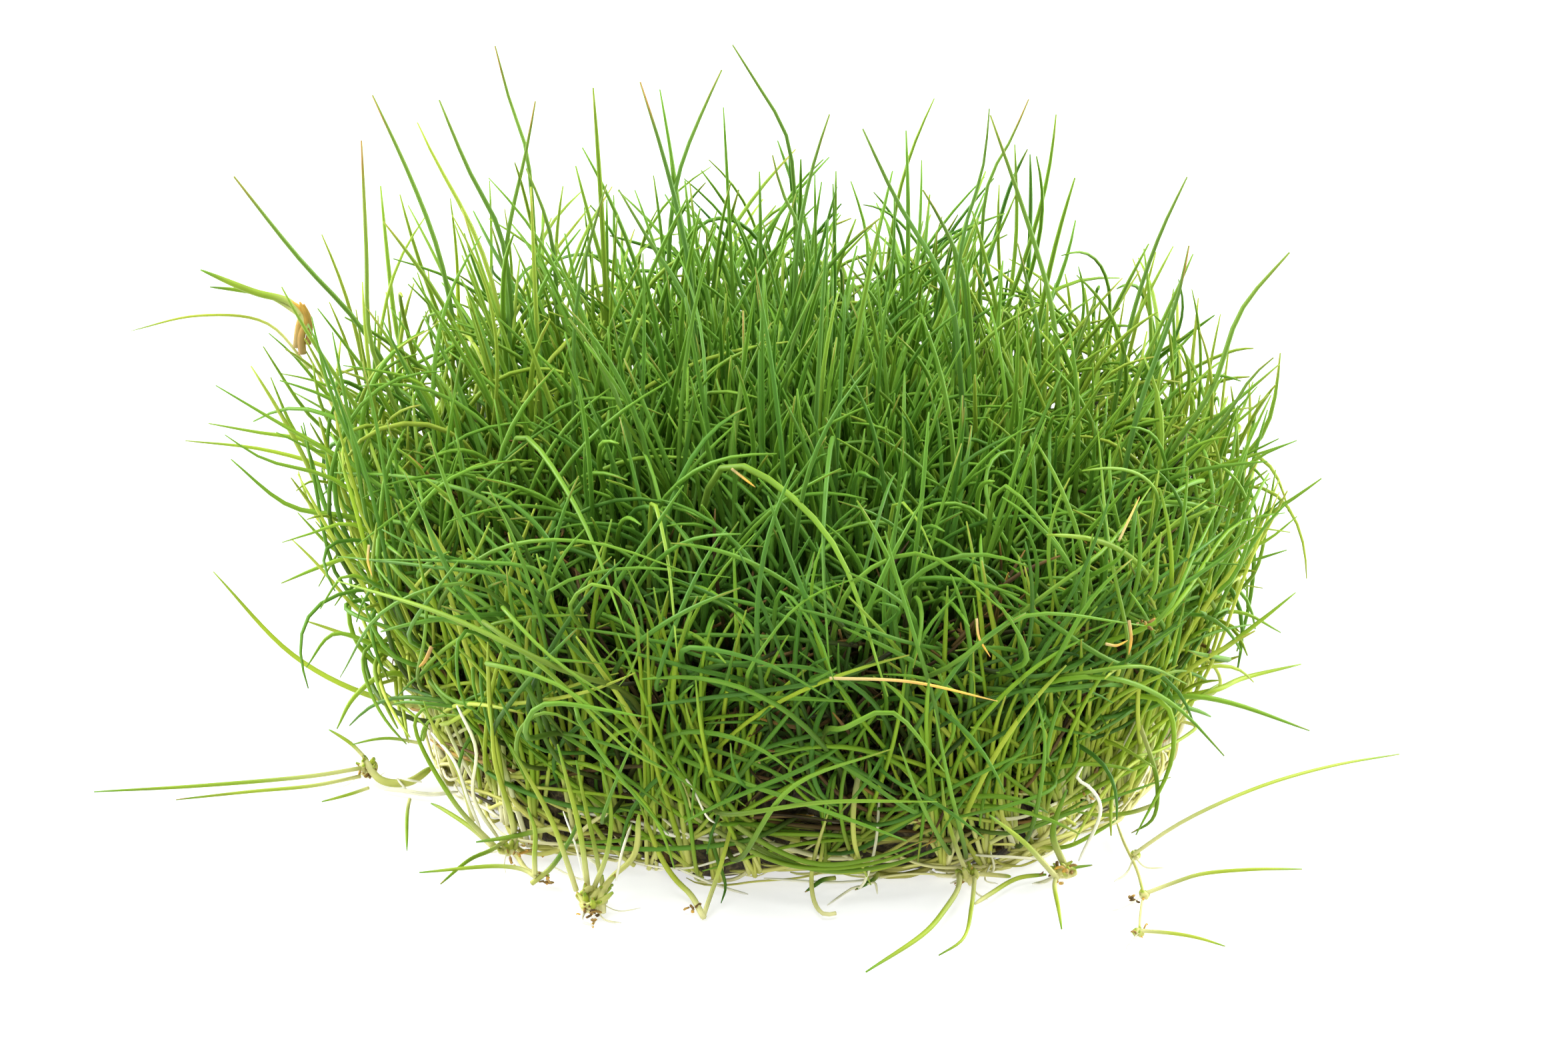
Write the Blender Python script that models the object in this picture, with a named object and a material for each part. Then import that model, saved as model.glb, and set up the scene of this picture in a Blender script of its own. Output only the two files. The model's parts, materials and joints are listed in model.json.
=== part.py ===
"""Dwarf hairgrass: one round turf of thin leaves on a mat of matted roots, with runners on the surface.

The origin is the centre of the mat's flat underside, +Z is up and -Y is the front. A tuft stands for
the plantlets of one patch of the mat. It is modelled upright in its own cell of the mat, with each
leaf as a spike, and then spread out with all the others by one smooth flow, so that no two touch.
"""

import math
import random

import bmesh
import bpy
from mathutils import Matrix, Vector

MM = 0.001
GAP = 0.4 * MM  # between a piece and its neighbour, so that their faces never coincide
SEED = 5

# The mat of roots and stem bases
MAT_RADIUS = 38.0 * MM
MAT_HEIGHT = 8.0 * MM
MAT_SIDES = 44
MAT_LUMP = 0.7 * MM
MAT_TAPER = 1.6 * MM  # how much narrower the mat is at its top and bottom edges

# The tufts on top of the mat, in rings: (radius of the ring, tufts in it)
TURF_RADIUS = 36.6 * MM
TUFT_RINGS = ((0.0, 1), (11.0 * MM, 6), (21.5 * MM, 10), (31.5 * MM, 13))
TUFT_SHIFT = 1.3 * MM  # how far a tuft's centre is off its ring
SHORTEST_EDGE = 2.6 * MM  # edges of a cell under this are closed up
CLUMP_HEIGHT = 5.0 * MM  # how far up a tuft's stems stand as one clump
LEAF_LENGTHS = (24.0 * MM, 33.0 * MM)  # above the mat, for most leaves
TALL_LENGTHS = (40.0 * MM, 53.0 * MM)
TALL_SHARE = 0.11
LEAF_SWAY = 3.2 * MM  # how far a tip is off its root, sideways, before the spread
WAIST = 0.4  # a leaf's width at its waist, as a share of that at its root
WAIST_LEVEL = 0.45  # how far up the leaf its waist is

# The flow that spreads the turf: at the rim a tip goes out by SPREAD and comes down by SAG of its height
SPREAD = 13.0 * MM
SAG = 0.24
FULL_HEIGHT = 33.0 * MM  # the height at which the spread is complete
LEAN = Vector((1.5 * MM, 0.0, 0.0))  # the whole turf leans a little to its right

# The skirt: short leaves that grow out of the mat's side
SKIRT_COUNT = 12
SKIRT_ROOT = (2.4 * MM, 7.8 * MM)  # heights between which they grow
SKIRT_THICKNESS = 1.2 * MM
SKIRT_REACH = (6.0 * MM, 9.0 * MM)  # how far out the lowest and the highest leaves reach
REACH_SPREAD = 2.5 * MM  # by which a leaf may be longer
SKIRT_RISE = (0.7, 2.2)  # climb for each millimetre outwards, at the bottom and the top of the band
SKIRT_SWAY = 1.2 * MM

# Stray leaves, runners and plantlets
LEAF_RADIUS = 0.42 * MM
RUNNER_RADIUS = 0.38 * MM
TIP_SHARE = 0.4  # a leaf's radius at its tip, as a share of that at its base
POINTS_PER_SPAN = 2  # on a strand's smooth curve, from each of its places to the next

# Each plantlet: its crown's place and half sizes, then its leaves and its stretches of runner. Each of
# those is a list of places from the crown outwards. All are in millimetres, with z the height.
PLANTLETS = {
    "plantlet_left": {
        "crown": ((-41.5, -13.0, 1.6), (1.5, 1.3, 1.5)),
        "leaves": (
            ((-41.5, -13.0, 2.0), (-48.0, -14.2, 2.6), (-56.0, -16.6, 2.2), (-65.0, -18.3, 0.8)),
            ((-41.5, -13.0, 1.4), (-47.0, -15.5, 1.4), (-52.0, -17.5, 1.0), (-57.0, -19.8, 0.6)),
            ((-41.5, -13.0, 2.4), (-43.0, -9.5, 4.4), (-45.0, -5.5, 4.8)),
        ),
        "runners": (((-41.5, -13.0, 1.2), (-39.4, -14.2, 0.9), (-35.0, -13.6, 0.7)),),
    },
    "plantlet_front_left": {
        "crown": ((-26.2, -32.6, 1.2), (1.6, 1.2, 1.1)),
        "leaves": (
            ((-26.2, -32.6, 1.4), (-29.6, -34.2, 1.6), (-34.0, -35.8, 0.8)),
            ((-26.2, -32.6, 1.6), (-30.8, -31.4, 1.9), (-35.6, -31.6, 1.2)),
            ((-26.2, -32.6, 1.0), (-27.6, -35.8, 1.1), (-30.6, -38.8, 0.6)),
        ),
        "runners": (((-26.2, -32.6, 0.9), (-25.0, -31.0, 0.9), (-23.6, -29.0, 0.8)),),
    },
    "plantlet_front": {
        "crown": ((-14.9, -42.6, 1.7), (2.2, 1.7, 1.6)),
        "leaves": (
            ((-14.9, -42.6, 2.2), (-18.4, -43.6, 5.6), (-22.4, -45.0, 8.4)),
            ((-14.9, -42.6, 2.4), (-11.6, -44.2, 5.4), (-8.6, -46.4, 7.2)),
            ((-14.9, -42.6, 1.2), (-15.4, -45.4, 0.9), (-14.6, -47.4, 0.6)),
        ),
        "runners": (((-14.9, -42.6, 1.0), (-14.6, -40.9, 0.9), (-14.2, -39.4, 0.7)),),
    },
    "plantlet_front_right": {
        "crown": ((17.4, -40.4, 1.4), (1.5, 1.2, 1.3)),
        "leaves": (
            ((17.4, -40.4, 1.6), (16.4, -44.0, 2.6), (12.6, -49.6, 1.6), (8.6, -53.6, 0.6)),
            ((17.4, -40.4, 1.2), (17.6, -44.6, 1.4), (16.6, -48.0, 1.0), (15.0, -50.6, 0.6)),
        ),
        "runners": (
            ((17.4, -40.4, 0.8), (21.6, -39.8, 0.8), (25.6, -37.8, 1.0)),
            ((17.4, -40.4, 0.8), (16.6, -39.6, 0.8), (15.9, -38.6, 0.8)),
        ),
    },
    "plantlet_right": {
        "crown": ((27.4, -36.9, 1.4), (1.3, 1.1, 1.2)),
        "leaves": (
            ((27.4, -36.9, 1.2), (27.0, -40.6, 1.4), (27.4, -45.4, 0.6)),
            ((27.4, -36.9, 1.8), (29.4, -37.6, 2.6), (31.4, -39.4, 2.4)),
        ),
        "runners": (),
    },
    "runner_right": {
        "crown": ((32.6, -29.4, 0.9), (0.7, 0.7, 0.7)),
        "leaves": (
            ((32.6, -29.4, 1.2), (39.0, -23.2, 3.6), (46.4, -18.6, 4.2), (60.4, -12.6, 1.2)),
        ),
        "runners": (
            ((32.6, -29.4, 0.9), (31.8, -27.2, 0.9), (31.3, -25.6, 0.9)),
            ((32.6, -29.4, 0.8), (33.3, -33.6, 0.6), (33.1, -37.6, 0.7)),
        ),
    },
    "plantlet_runner_middle": {
        "crown": ((33.0, -39.2, 0.9), (0.8, 0.7, 0.7)),
        "leaves": (
            ((33.0, -39.2, 1.0), (36.6, -36.4, 1.9), (41.0, -35.2, 2.2), (48.4, -35.0, 0.8)),
        ),
        "runners": (((33.0, -39.2, 0.7), (32.8, -41.8, 0.5), (32.4, -44.4, 0.6)),),
    },
    "plantlet_runner_end": {
        "crown": ((32.2, -45.9, 0.8), (0.7, 0.6, 0.6)),
        "leaves": (
            ((32.2, -45.9, 0.8), (36.0, -46.2, 1.4), (39.9, -48.2, 0.6)),
        ),
        "runners": (),
    },
}


def clear_scene():
    """Remove what the scene holds."""
    for item in list(bpy.data.objects):
        bpy.data.objects.remove(item)


def make_collection(name):
    """A new collection linked to the scene."""
    collection = bpy.data.collections.new(name)
    bpy.context.scene.collection.children.link(collection)
    return collection


def make_material(name, colour, roughness):
    """A plain finish."""
    material = bpy.data.materials.new(name)
    material.use_nodes = True
    shader = material.node_tree.nodes["Principled BSDF"]
    shader.inputs["Base Color"].default_value = (*colour, 1.0)
    shader.inputs["Roughness"].default_value = roughness
    shader.inputs["Metallic"].default_value = 0.0
    return material


def add_part(bm, name, material, collection):
    """The bmesh as a named object with its finish, its faces pointing out. The bmesh is freed."""
    bmesh.ops.recalc_face_normals(bm, faces=bm.faces)
    if bm.calc_volume(signed=True) < 0:
        bmesh.ops.reverse_faces(bm, faces=bm.faces)
    mesh = bpy.data.meshes.new(name)
    bm.to_mesh(mesh)
    bm.free()
    mesh.materials.append(material)
    part = bpy.data.objects.new(name, mesh)
    collection.objects.link(part)
    return part


def root_mat(material, collection):
    """The pressed disc of roots and stem bases: flat above and below, with a lumpy, bulging side."""
    rng = random.Random(SEED)
    bm = bmesh.new()
    bmesh.ops.create_cone(
        bm,
        cap_ends=True,
        segments=MAT_SIDES,
        radius1=MAT_RADIUS,
        radius2=MAT_RADIUS,
        depth=MAT_HEIGHT,
        matrix=Matrix.Translation((0.0, 0.0, MAT_HEIGHT / 2)),
    )
    upright = [edge for edge in bm.edges if abs(edge.verts[0].co.z - edge.verts[1].co.z) > MM]
    bmesh.ops.subdivide_edges(bm, edges=upright, cuts=2)
    for vert in bm.verts:
        is_at_edge = abs(vert.co.z / MAT_HEIGHT - 0.5) > 0.4
        inwards = MAT_TAPER if is_at_edge else 0.0
        vert.co.xy *= 1 - (inwards + rng.uniform(0, MAT_LUMP)) / MAT_RADIUS
    return add_part(bm, "root_mat", material, collection)


def tuft_centres(rng):
    """Where each tuft stands on the mat."""
    centres = []
    for radius, count in TUFT_RINGS:
        start = rng.uniform(0, math.tau)
        for index in range(count):
            angle = start + math.tau * index / count
            shift = Vector((rng.uniform(-1, 1), rng.uniform(-1, 1))) * TUFT_SHIFT
            centres.append(Vector((radius * math.cos(angle), radius * math.sin(angle))) + shift)
    return centres


def cell_walls(centre, centres):
    """The walls between this tuft and the others, as (a place on the wall, the way out through it)."""
    walls = []
    for other in centres:
        if other is not centre:
            outwards = (other - centre).normalized()
            walls.append(((centre + other) / 2 - outwards * GAP / 2, outwards))
    return walls


def is_inside(place, walls):
    """Whether a place is within all the walls of a cell."""
    return all((place - wall).dot(outwards) < 0 for wall, outwards in walls)


def cell_floor(walls):
    """A bmesh with one face: the part of the mat's top that lies within these walls."""
    bm = bmesh.new()
    bmesh.ops.create_circle(bm, cap_ends=True, radius=TURF_RADIUS, segments=26)
    for wall, outwards in walls:
        bmesh.ops.bisect_plane(
            bm,
            geom=bm.verts[:] + bm.edges[:] + bm.faces[:],
            dist=0.01 * MM,
            plane_co=wall.to_3d(),
            plane_no=outwards.to_3d(),
            clear_outer=True,
        )
    bmesh.ops.remove_doubles(bm, verts=bm.verts, dist=SHORTEST_EDGE)
    return bm


def leaf_length(rng):
    """The height of one leaf's tip above the mat, before the sag."""
    if rng.random() < TALL_SHARE:
        return rng.uniform(*TALL_LENGTHS)
    return rng.uniform(*LEAF_LENGTHS)


def spread_out(point):
    """Where the flow takes a point of the upright turf, whose z is its height above the mat."""
    radius = point.xy.length
    share = radius / TURF_RADIUS
    rise = max(point.z, 0.0) / FULL_HEIGHT
    outwards = SPREAD * share**1.5 * rise**1.25
    height = point.z * (1 - SAG * share**2)
    direction = point.xy / radius if radius > 0.01 * MM else Vector((0.0, 0.0))
    moved = (point.xy + direction * outwards).to_3d() + LEAN * min(rise, 1.2)
    moved.z = MAT_HEIGHT + GAP + height
    return moved


def sway_within(place, walls, rng):
    """A sideways shift for the tip of the leaf at this place that keeps it inside its cell."""
    sway = Vector((rng.uniform(-1, 1), rng.uniform(-1, 1))) * LEAF_SWAY
    while sway.length > GAP and not is_inside(place + sway, walls):
        sway *= 0.6
    return sway.to_3d() if is_inside(place + sway, walls) else Vector((0.0, 0.0, 0.0))


def grow_leaves(bm, roots, walls, rng):
    """Grow one spike from each root face: a waist half way up, then the tip."""
    waists = bmesh.ops.extrude_discrete_faces(bm, faces=roots)["faces"]
    for waist in waists:
        length = leaf_length(rng)
        middle = waist.calc_center_median()
        sway = sway_within(middle.xy, walls, rng)
        lift = Vector((0.0, 0.0, (length - CLUMP_HEIGHT) * WAIST_LEVEL))
        bmesh.ops.scale(
            bm, vec=(WAIST, WAIST, 1.0), verts=waist.verts, space=Matrix.Translation(-middle)
        )
        bmesh.ops.translate(bm, vec=lift + sway * WAIST_LEVEL**2, verts=waist.verts)
        tip = bmesh.ops.poke(bm, faces=[waist])["verts"][0]
        tip.co = Vector((middle.x, middle.y, length)) + sway


def tuft(name, centre, centres, material, collection, rng):
    """A clump of stems over one cell of the mat, with a leaf on each triangle of its top."""
    walls = cell_walls(centre, centres)
    bm = cell_floor(walls)
    risen = bmesh.ops.extrude_face_region(bm, geom=bm.faces[:])["geom"]
    top_verts = [item for item in risen if isinstance(item, bmesh.types.BMVert)]
    bmesh.ops.translate(bm, vec=(0.0, 0.0, CLUMP_HEIGHT), verts=top_verts)
    top = max(bm.faces, key=lambda face: face.calc_center_median().z)
    fan = bmesh.ops.poke(bm, faces=[top])["faces"]
    top_edges = list({edge for face in fan for edge in face.edges})
    bmesh.ops.subdivide_edges(bm, edges=top_edges, cuts=1, use_grid_fill=True)
    above = CLUMP_HEIGHT - 0.1 * MM
    roots = [face for face in bm.faces if all(vert.co.z > above for vert in face.verts)]
    grow_leaves(bm, roots, walls, rng)
    for vert in bm.verts:
        vert.co = spread_out(vert.co)
    return add_part(bm, name, material, collection)


def wrap_skirt(point, start):
    """Bend the flat skirt round the mat. Its x runs along the mat's side, z up it and y out of it."""
    low, high = SKIRT_ROOT
    level = (point.z - low) / (high - low)
    rise = SKIRT_RISE[0] + (SKIRT_RISE[1] - SKIRT_RISE[0]) * min(max(level, 0.0), 1.0)
    reach = max(point.y - SKIRT_THICKNESS, 0.0)
    radius = MAT_RADIUS + GAP + point.y
    angle = start + point.x / MAT_RADIUS
    return Vector((radius * math.cos(angle), radius * math.sin(angle), point.z + reach * rise))


def skirt(name, index, material, collection, rng):
    """A patch of short leaves on the mat's side, leaning out and up."""
    width = math.tau * MAT_RADIUS / SKIRT_COUNT - GAP * 2
    low, high = SKIRT_ROOT
    bm = bmesh.new()
    bmesh.ops.create_grid(bm, x_segments=3, y_segments=2, size=0.5)
    bmesh.ops.rotate(bm, verts=bm.verts, matrix=Matrix.Rotation(math.radians(90), 3, "X"))
    bmesh.ops.scale(bm, vec=(width, 1.0, high - low), verts=bm.verts)
    bmesh.ops.translate(bm, vec=(0.0, 0.0, (low + high) / 2), verts=bm.verts)
    risen = bmesh.ops.extrude_face_region(bm, geom=bm.faces[:])["geom"]
    front_verts = [item for item in risen if isinstance(item, bmesh.types.BMVert)]
    bmesh.ops.translate(bm, vec=(0.0, SKIRT_THICKNESS, 0.0), verts=front_verts)
    front = [face for face in bm.faces if face.calc_center_median().y > SKIRT_THICKNESS * 0.9]
    roots = bmesh.ops.triangulate(bm, faces=front)["faces"]
    waists = bmesh.ops.extrude_discrete_faces(bm, faces=roots)["faces"]
    for waist in waists:
        level = (waist.calc_center_median().z - low) / (high - low)
        reach = SKIRT_REACH[0] + (SKIRT_REACH[1] - SKIRT_REACH[0]) * level
        reach += rng.uniform(0, REACH_SPREAD)
        sway = Vector((rng.uniform(-1, 1), 0.0, rng.uniform(-0.2, 0.4))) * SKIRT_SWAY
        middle = waist.calc_center_median()
        bmesh.ops.scale(
            bm, vec=(WAIST, 1.0, WAIST), verts=waist.verts, space=Matrix.Translation(-middle)
        )
        shift = (sway.x * WAIST_LEVEL, reach * WAIST_LEVEL, 0.0)
        bmesh.ops.translate(bm, vec=shift, verts=waist.verts)
        tip = bmesh.ops.poke(bm, faces=[waist])["verts"][0]
        tip.co = middle + Vector((sway.x, reach, sway.z))
    start = math.tau * (index + 0.5) / SKIRT_COUNT
    for vert in bm.verts:
        vert.co = wrap_skirt(vert.co, start)
    return add_part(bm, name, material, collection)


def smooth_through(places):
    """Points on a smooth curve through these places, which are in millimetres."""
    knots = [Vector(place) * MM for place in places]
    knots = [knots[0] * 2 - knots[1]] + knots + [knots[-1] * 2 - knots[-2]]
    points = []
    for before, here, after, beyond in zip(knots, knots[1:], knots[2:], knots[3:]):
        for step in range(POINTS_PER_SPAN):
            t = step / POINTS_PER_SPAN
            bend = 2 * here + (after - before) * t
            bend += (2 * before - 5 * here + 4 * after - beyond) * t**2
            bend += (3 * here - before - 3 * after + beyond) * t**3
            points.append(bend / 2)
    return points + [knots[-2]]


def strand(places, radius, tip_share):
    """A thin round strand along these places, as a mesh object with its caps joined on."""
    points = smooth_through(places)
    curve = bpy.data.curves.new("strand", "CURVE")
    curve.dimensions = "3D"
    curve.bevel_depth = radius
    curve.bevel_resolution = 0
    curve.use_fill_caps = True
    spline = curve.splines.new("POLY")
    spline.points.add(len(points) - 1)
    for index, point in enumerate(points):
        along = index / (len(points) - 1)
        spline.points[index].co = (*point, 1.0)
        spline.points[index].radius = 1 - (1 - tip_share) * along**2
    guide = bpy.data.objects.new("strand", curve)
    bpy.context.scene.collection.objects.link(guide)
    graph = bpy.context.evaluated_depsgraph_get()
    mesh = bpy.data.meshes.new_from_object(guide.evaluated_get(graph))
    bpy.data.objects.remove(guide)
    bm = bmesh.new()
    bm.from_mesh(mesh)
    bmesh.ops.remove_doubles(bm, verts=bm.verts, dist=0.01 * MM)
    bmesh.ops.recalc_face_normals(bm, faces=bm.faces)
    bm.to_mesh(mesh)
    bm.free()
    return bpy.data.objects.new("strand", mesh)


def plantlet(name, form, material, collection, helpers):
    """A daughter plant on the surface: a lumpy crown joined with its leaves and its stretch of runner."""
    place, half_size = form["crown"]
    bm = bmesh.new()
    bmesh.ops.create_uvsphere(bm, u_segments=7, v_segments=4, radius=MM)
    bmesh.ops.scale(bm, vec=half_size, verts=bm.verts)
    bmesh.ops.translate(bm, vec=Vector(place) * MM, verts=bm.verts)
    part = add_part(bm, name, material, collection)
    strands = [strand(places, LEAF_RADIUS, TIP_SHARE) for places in form["leaves"]]
    strands += [strand(places, RUNNER_RADIUS, 0.9) for places in form["runners"]]
    for piece in strands:
        helpers.objects.link(piece)
        piece.hide_render = True
        piece.display_type = "WIRE"
        join = part.modifiers.new("join", "BOOLEAN")
        join.operation = "UNION"
        join.solver = "EXACT"
        join.object = piece
    return part


def main():
    clear_scene()
    collection = make_collection("dwarf_hairgrass")
    helpers = make_collection("strands")
    matted = make_material("matted_root", (0.36, 0.31, 0.14), 0.85)
    green = make_material("leaf_green", (0.15, 0.40, 0.04), 0.45)
    young = make_material("leaf_young", (0.34, 0.50, 0.08), 0.45)
    root_mat(matted, collection)
    rng = random.Random(SEED)
    centres = tuft_centres(rng)
    for index, centre in enumerate(centres, start=1):
        tuft(f"tuft_{index:02d}", centre, centres, green, collection, rng)
    for index in range(SKIRT_COUNT):
        skirt(f"skirt_{index + 1:02d}", index, green, collection, rng)
    for name, form in PLANTLETS.items():
        plantlet(name, form, young, collection, helpers)


main()
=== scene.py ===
"""The looks of a turf of dwarf hairgrass: some thousands of thin leaves on a mat of matted roots.

The frame gives the mat, the tufts and the plantlets as plain solids. Here each of them becomes the
leaves, stems and roots that it stands for. Every leaf, stem and root is a tapered tube: one tube is made
with bmesh and then swept along each of their lines. A tube's own map holds its tone across and the way
from root to tip along, and the finishes read both. Lengths are in metres, except the listed places,
which are in millimetres. The mat's underside is at height 0 and the front looks towards -Y.
"""

import json
import math

import bmesh
import bpy
import numpy as np
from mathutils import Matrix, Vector, noise

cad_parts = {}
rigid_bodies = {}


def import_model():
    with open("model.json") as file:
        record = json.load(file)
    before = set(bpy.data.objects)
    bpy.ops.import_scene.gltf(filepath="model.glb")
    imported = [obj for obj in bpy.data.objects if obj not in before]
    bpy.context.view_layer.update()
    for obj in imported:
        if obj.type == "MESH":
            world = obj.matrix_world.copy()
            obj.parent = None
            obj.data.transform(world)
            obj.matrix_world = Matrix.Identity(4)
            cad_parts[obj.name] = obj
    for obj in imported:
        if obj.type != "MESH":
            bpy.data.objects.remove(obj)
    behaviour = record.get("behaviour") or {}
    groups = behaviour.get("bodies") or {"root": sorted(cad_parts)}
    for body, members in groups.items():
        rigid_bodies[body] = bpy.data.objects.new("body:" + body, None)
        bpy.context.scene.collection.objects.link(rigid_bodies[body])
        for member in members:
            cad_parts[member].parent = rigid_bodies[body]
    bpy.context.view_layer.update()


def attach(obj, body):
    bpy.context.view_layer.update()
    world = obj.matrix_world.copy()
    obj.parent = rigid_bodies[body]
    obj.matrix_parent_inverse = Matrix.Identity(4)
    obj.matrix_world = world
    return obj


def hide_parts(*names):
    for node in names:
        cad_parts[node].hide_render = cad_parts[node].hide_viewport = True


MM = 0.001
SEED = 11

# The photograph's camera
LENS = 90.0
SENSOR_WIDTH = 36.0
NEAREST_SEEN = 0.01
CAMERA_PLACE = (0.62 * MM, -345.9 * MM, 173.8 * MM)
CAMERA_DIP = math.radians(24)

# The light: white all round, with the gaps between the leaves left dark
ROOM_LIGHT = 0.32
TABLE_GLOW = 0.65
TABLE_WHITE = 0.44
TABLE_HALF = 3.0
TABLE_ROUGHNESS = 0.6
LAMP_TARGET = (0, 0, 0.02)
LAMPS = (
    # name, place, size, power
    ("overhead", (-0.10, -0.05, 0.75), 0.5, 7.2),
    ("left_back", (-0.60, 0.25, 0.25), 0.5, 9.2),
    ("right_back", (0.60, 0.25, 0.25), 0.5, 10.2),
    ("front", (-0.05, -0.75, 0.12), 0.6, 2.6),
)

# The mat
MIDDLE = (2.1 * MM, 1.2 * MM)  # the turf sits a little off the frame's origin
MAT_RADIUS = 36.8 * MM
MAT_HEIGHT = 8.0 * MM
MAT_SEGMENTS = 144
# Where its edge stands out or in: bearing and half width in degrees, and how far
MAT_BULGES = (
    (-150, 9, 0.8 * MM),
    (-129, 10, 3.0 * MM),
    (-104, 7, 2.2 * MM),
    (-86, 7, -0.7 * MM),
    (-62, 14, 2.3 * MM),
    (-36, 12, 1.6 * MM),
    (-16, 10, 0.6 * MM),
    (20, 14, 0.9 * MM),
    (75, 12, -0.8 * MM),
    (110, 14, 1.0 * MM),
    (165, 16, -0.9 * MM),
)
THATCH_RISE = 5.0 * MM  # how much higher the dead leaves between the stems lie in the middle
# The disc inside it
CORE_LOW = 0.3 * MM
CORE_HIGH = MAT_HEIGHT - 0.4 * MM
CORE_RADIUS = MAT_RADIUS - 1.0 * MM
CORE_BULGE = 0.7 * MM
CORE_STEPS = 6  # up its side
FLOOR_SHARES = (0.0, 0.25, 0.5, 0.75, 0.93)  # of its radius, for the points of its underside and its top
TOP_SHARES = (0.93, 0.8, 0.65, 0.5, 0.35, 0.2, 0.0)
MAT_LUMP = 0.9 * MM
LUMP_SCALE = 260  # lumps for each metre
LUMP_DETAIL = (0.7, 2.1, 4)  # how fast the smaller lumps fade, how much smaller each layer is, layers

# The tubes: (sides, lengths of tube along it)
COMMON_LEAF = (5, 18)
FINE_LEAF = (6, 20)
STRAND = (4, 16)
SHORT_STRAND = (4, 9)
SCRAP = (4, 5)
LEAF_RADIUS = 0.27 * MM
THICKNESSES = (0.78, 1.15)
BODY_TAPER = 0.12  # how much thinner a leaf is where its tip begins
TONE_WIDTH = 0.012  # how much of the map's width one tube has
TONE_FILL = 0.8  # how much of that it takes
HIGHEST_TONE = 0.999
MAP_START = 0.01  # where on the map's height a tube starts, and how much of it the tube takes
MAP_LENGTH = 0.98
MAP_CAP = 0.009  # how much more its end caps take
ASLANT = (0.31, 0.17, 0.94)  # a direction along which no tube starts
FINENESS = 8  # steps of the fine line through listed places for each length of tube
SMOOTHINGS = 60  # how often that line is evened out
GROWTH_STEPS = 2  # steps of growth for each length of tube
GROWN_SMOOTHINGS = 3  # how often a grown leaf's line is evened out
BEND_LATENESS = (0.2, 2.2)  # how near the tip most of a leaf's bend is
CROOK = 0.003  # how far a leaf strays from its even bend at each step
LOWEST_PLACE = 0.5 * MM
LEVELLING = 4 * MM  # the height below which a falling leaf levels out

# The culture cup's wall, which bent the outer leaves
CUP_FOOT = 35.1 * MM
CUP_MOUTH = 39.8 * MM
CUP_RISE = 22.0 * MM
CUP_LEAN = -0.6 * MM  # how far the turf leans to its right at the cup's mouth
CUP_SLACK = 1.6 * MM  # how unevenly the leaves meet it
CUP_FLARE = 0.04  # how fast the leaves spread above the mouth
WALL_SOFTNESS = 4.5 * MM
SPRING = 2.0 * MM  # how far the outer leaves' tips have sprung outwards since the cup came off
SPRING_LIMIT = 4 * SPRING
SPRING_RADII = (26 * MM, 42 * MM)
SPRING_LATENESS = 2.5  # how near the tip they have sprung most
SPRING_SAG = 0.25  # how far they sink as they spring, as a share
# A leaf whose tip is lower and further out than this lies on the table, and is left out
LYING_HEIGHT = 2.5 * MM
LYING_RADIUS = 34.0 * MM

# Where the crowns stand
TURF_RADIUS = 35.8 * MM
LENGTH_TILT = (-0.12, 0.02)  # how much longer the leaves are at the right and at the back
TONE_SPREAD = 0.113
# The higher tone at the flanks and the right is painted light from the bright room round them, over their
# paler stems
PALE_FLANKS = (0.03, 0.44)  # how much higher their tone is at the right, and at both flanks
CROWN_SPACING = 2.7 * MM
CROWN_AREA = 0.9 * CROWN_SPACING**2
CROWN_SHIFT = 0.7 * MM
CROWN_HEIGHT = MAT_HEIGHT - 1.0 * MM
ROOT_SCATTER = 0.3 * MM  # how far a crown's leaves start from its middle
CALMNESS = 0.5  # how much the tall leaves lean, bend and droop, against the others
INNER_RING = 16.0 * MM
MIDDLE_RING = 26.5 * MM
RIM_CROWNS = 150
RIM_HEIGHTS = (0.6 * MM, 7.4 * MM)
RIM_DEPTH = 0.2 * MM
RIM_SHIFT = 0.4  # of their spacing
FAN_BEARINGS = (
    -171, -163, -156, -149, -143, -138, -134, -128, -122, -115, -111, -105, -101, -96,
    -70, -64, -60, -55, -50, -45, -41, -37, -33, -29, -25, -21, -17, -12, -7, -2,
)
FAN_HEIGHTS = (0.6 * MM, 1.8 * MM)
FAN_DEPTH = 0.4 * MM
BACK_FANS = 16
BACK_FAN_SHIFT = 0.1  # in radians
# The middle tone of each zone's leaves, from dark to pale. The front zones are darker as painted shade on the
# turf's front, and the back zones paler as painted light through the backlit leaves.
ZONE_TONES = {
    "leaves_inner": 0.48,
    "leaves_middle_front": 0.39,
    "leaves_middle_back": 0.57,
    "leaves_outer_front": 0.27,
    "leaves_outer_back": 0.63,
    "leaves_rim_front": 0.47,
    "leaves_rim_back": 0.52,
    "leaves_fans": 0.66,
    "leaves_tangle": 0.25,
}

# How the leaves of each kind of crown grow. A crown has from the first number of leaves up to one less
# than the second. lean is how far the crowns lean out in the middle and at the edge. The spreads are how
# much crowns and leaves differ from that, sideways is how much more the crowns do along the edge, and
# length and curl are each a middle and a spread. gap_share is how far the front's gaps thin the leaves.
CANOPY_HABIT = {
    "leaves": (3, 7),
    "lean": (math.radians(0), math.radians(14)),
    "crown_spread": math.radians(7),
    "sideways": 1.0,
    "leaf_spread": math.radians(17),
    "length": (31.5 * MM, 5.5 * MM),
    "length_limits": (15 * MM, 42 * MM),
    "tall": (40 * MM, 50 * MM),
    "tall_share": 0.012,
    "curl": (math.radians(33), math.radians(22)),
    "droop": 0.22,
    "thickness": 1.05,
    "gap_share": 1.0,
}
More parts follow.
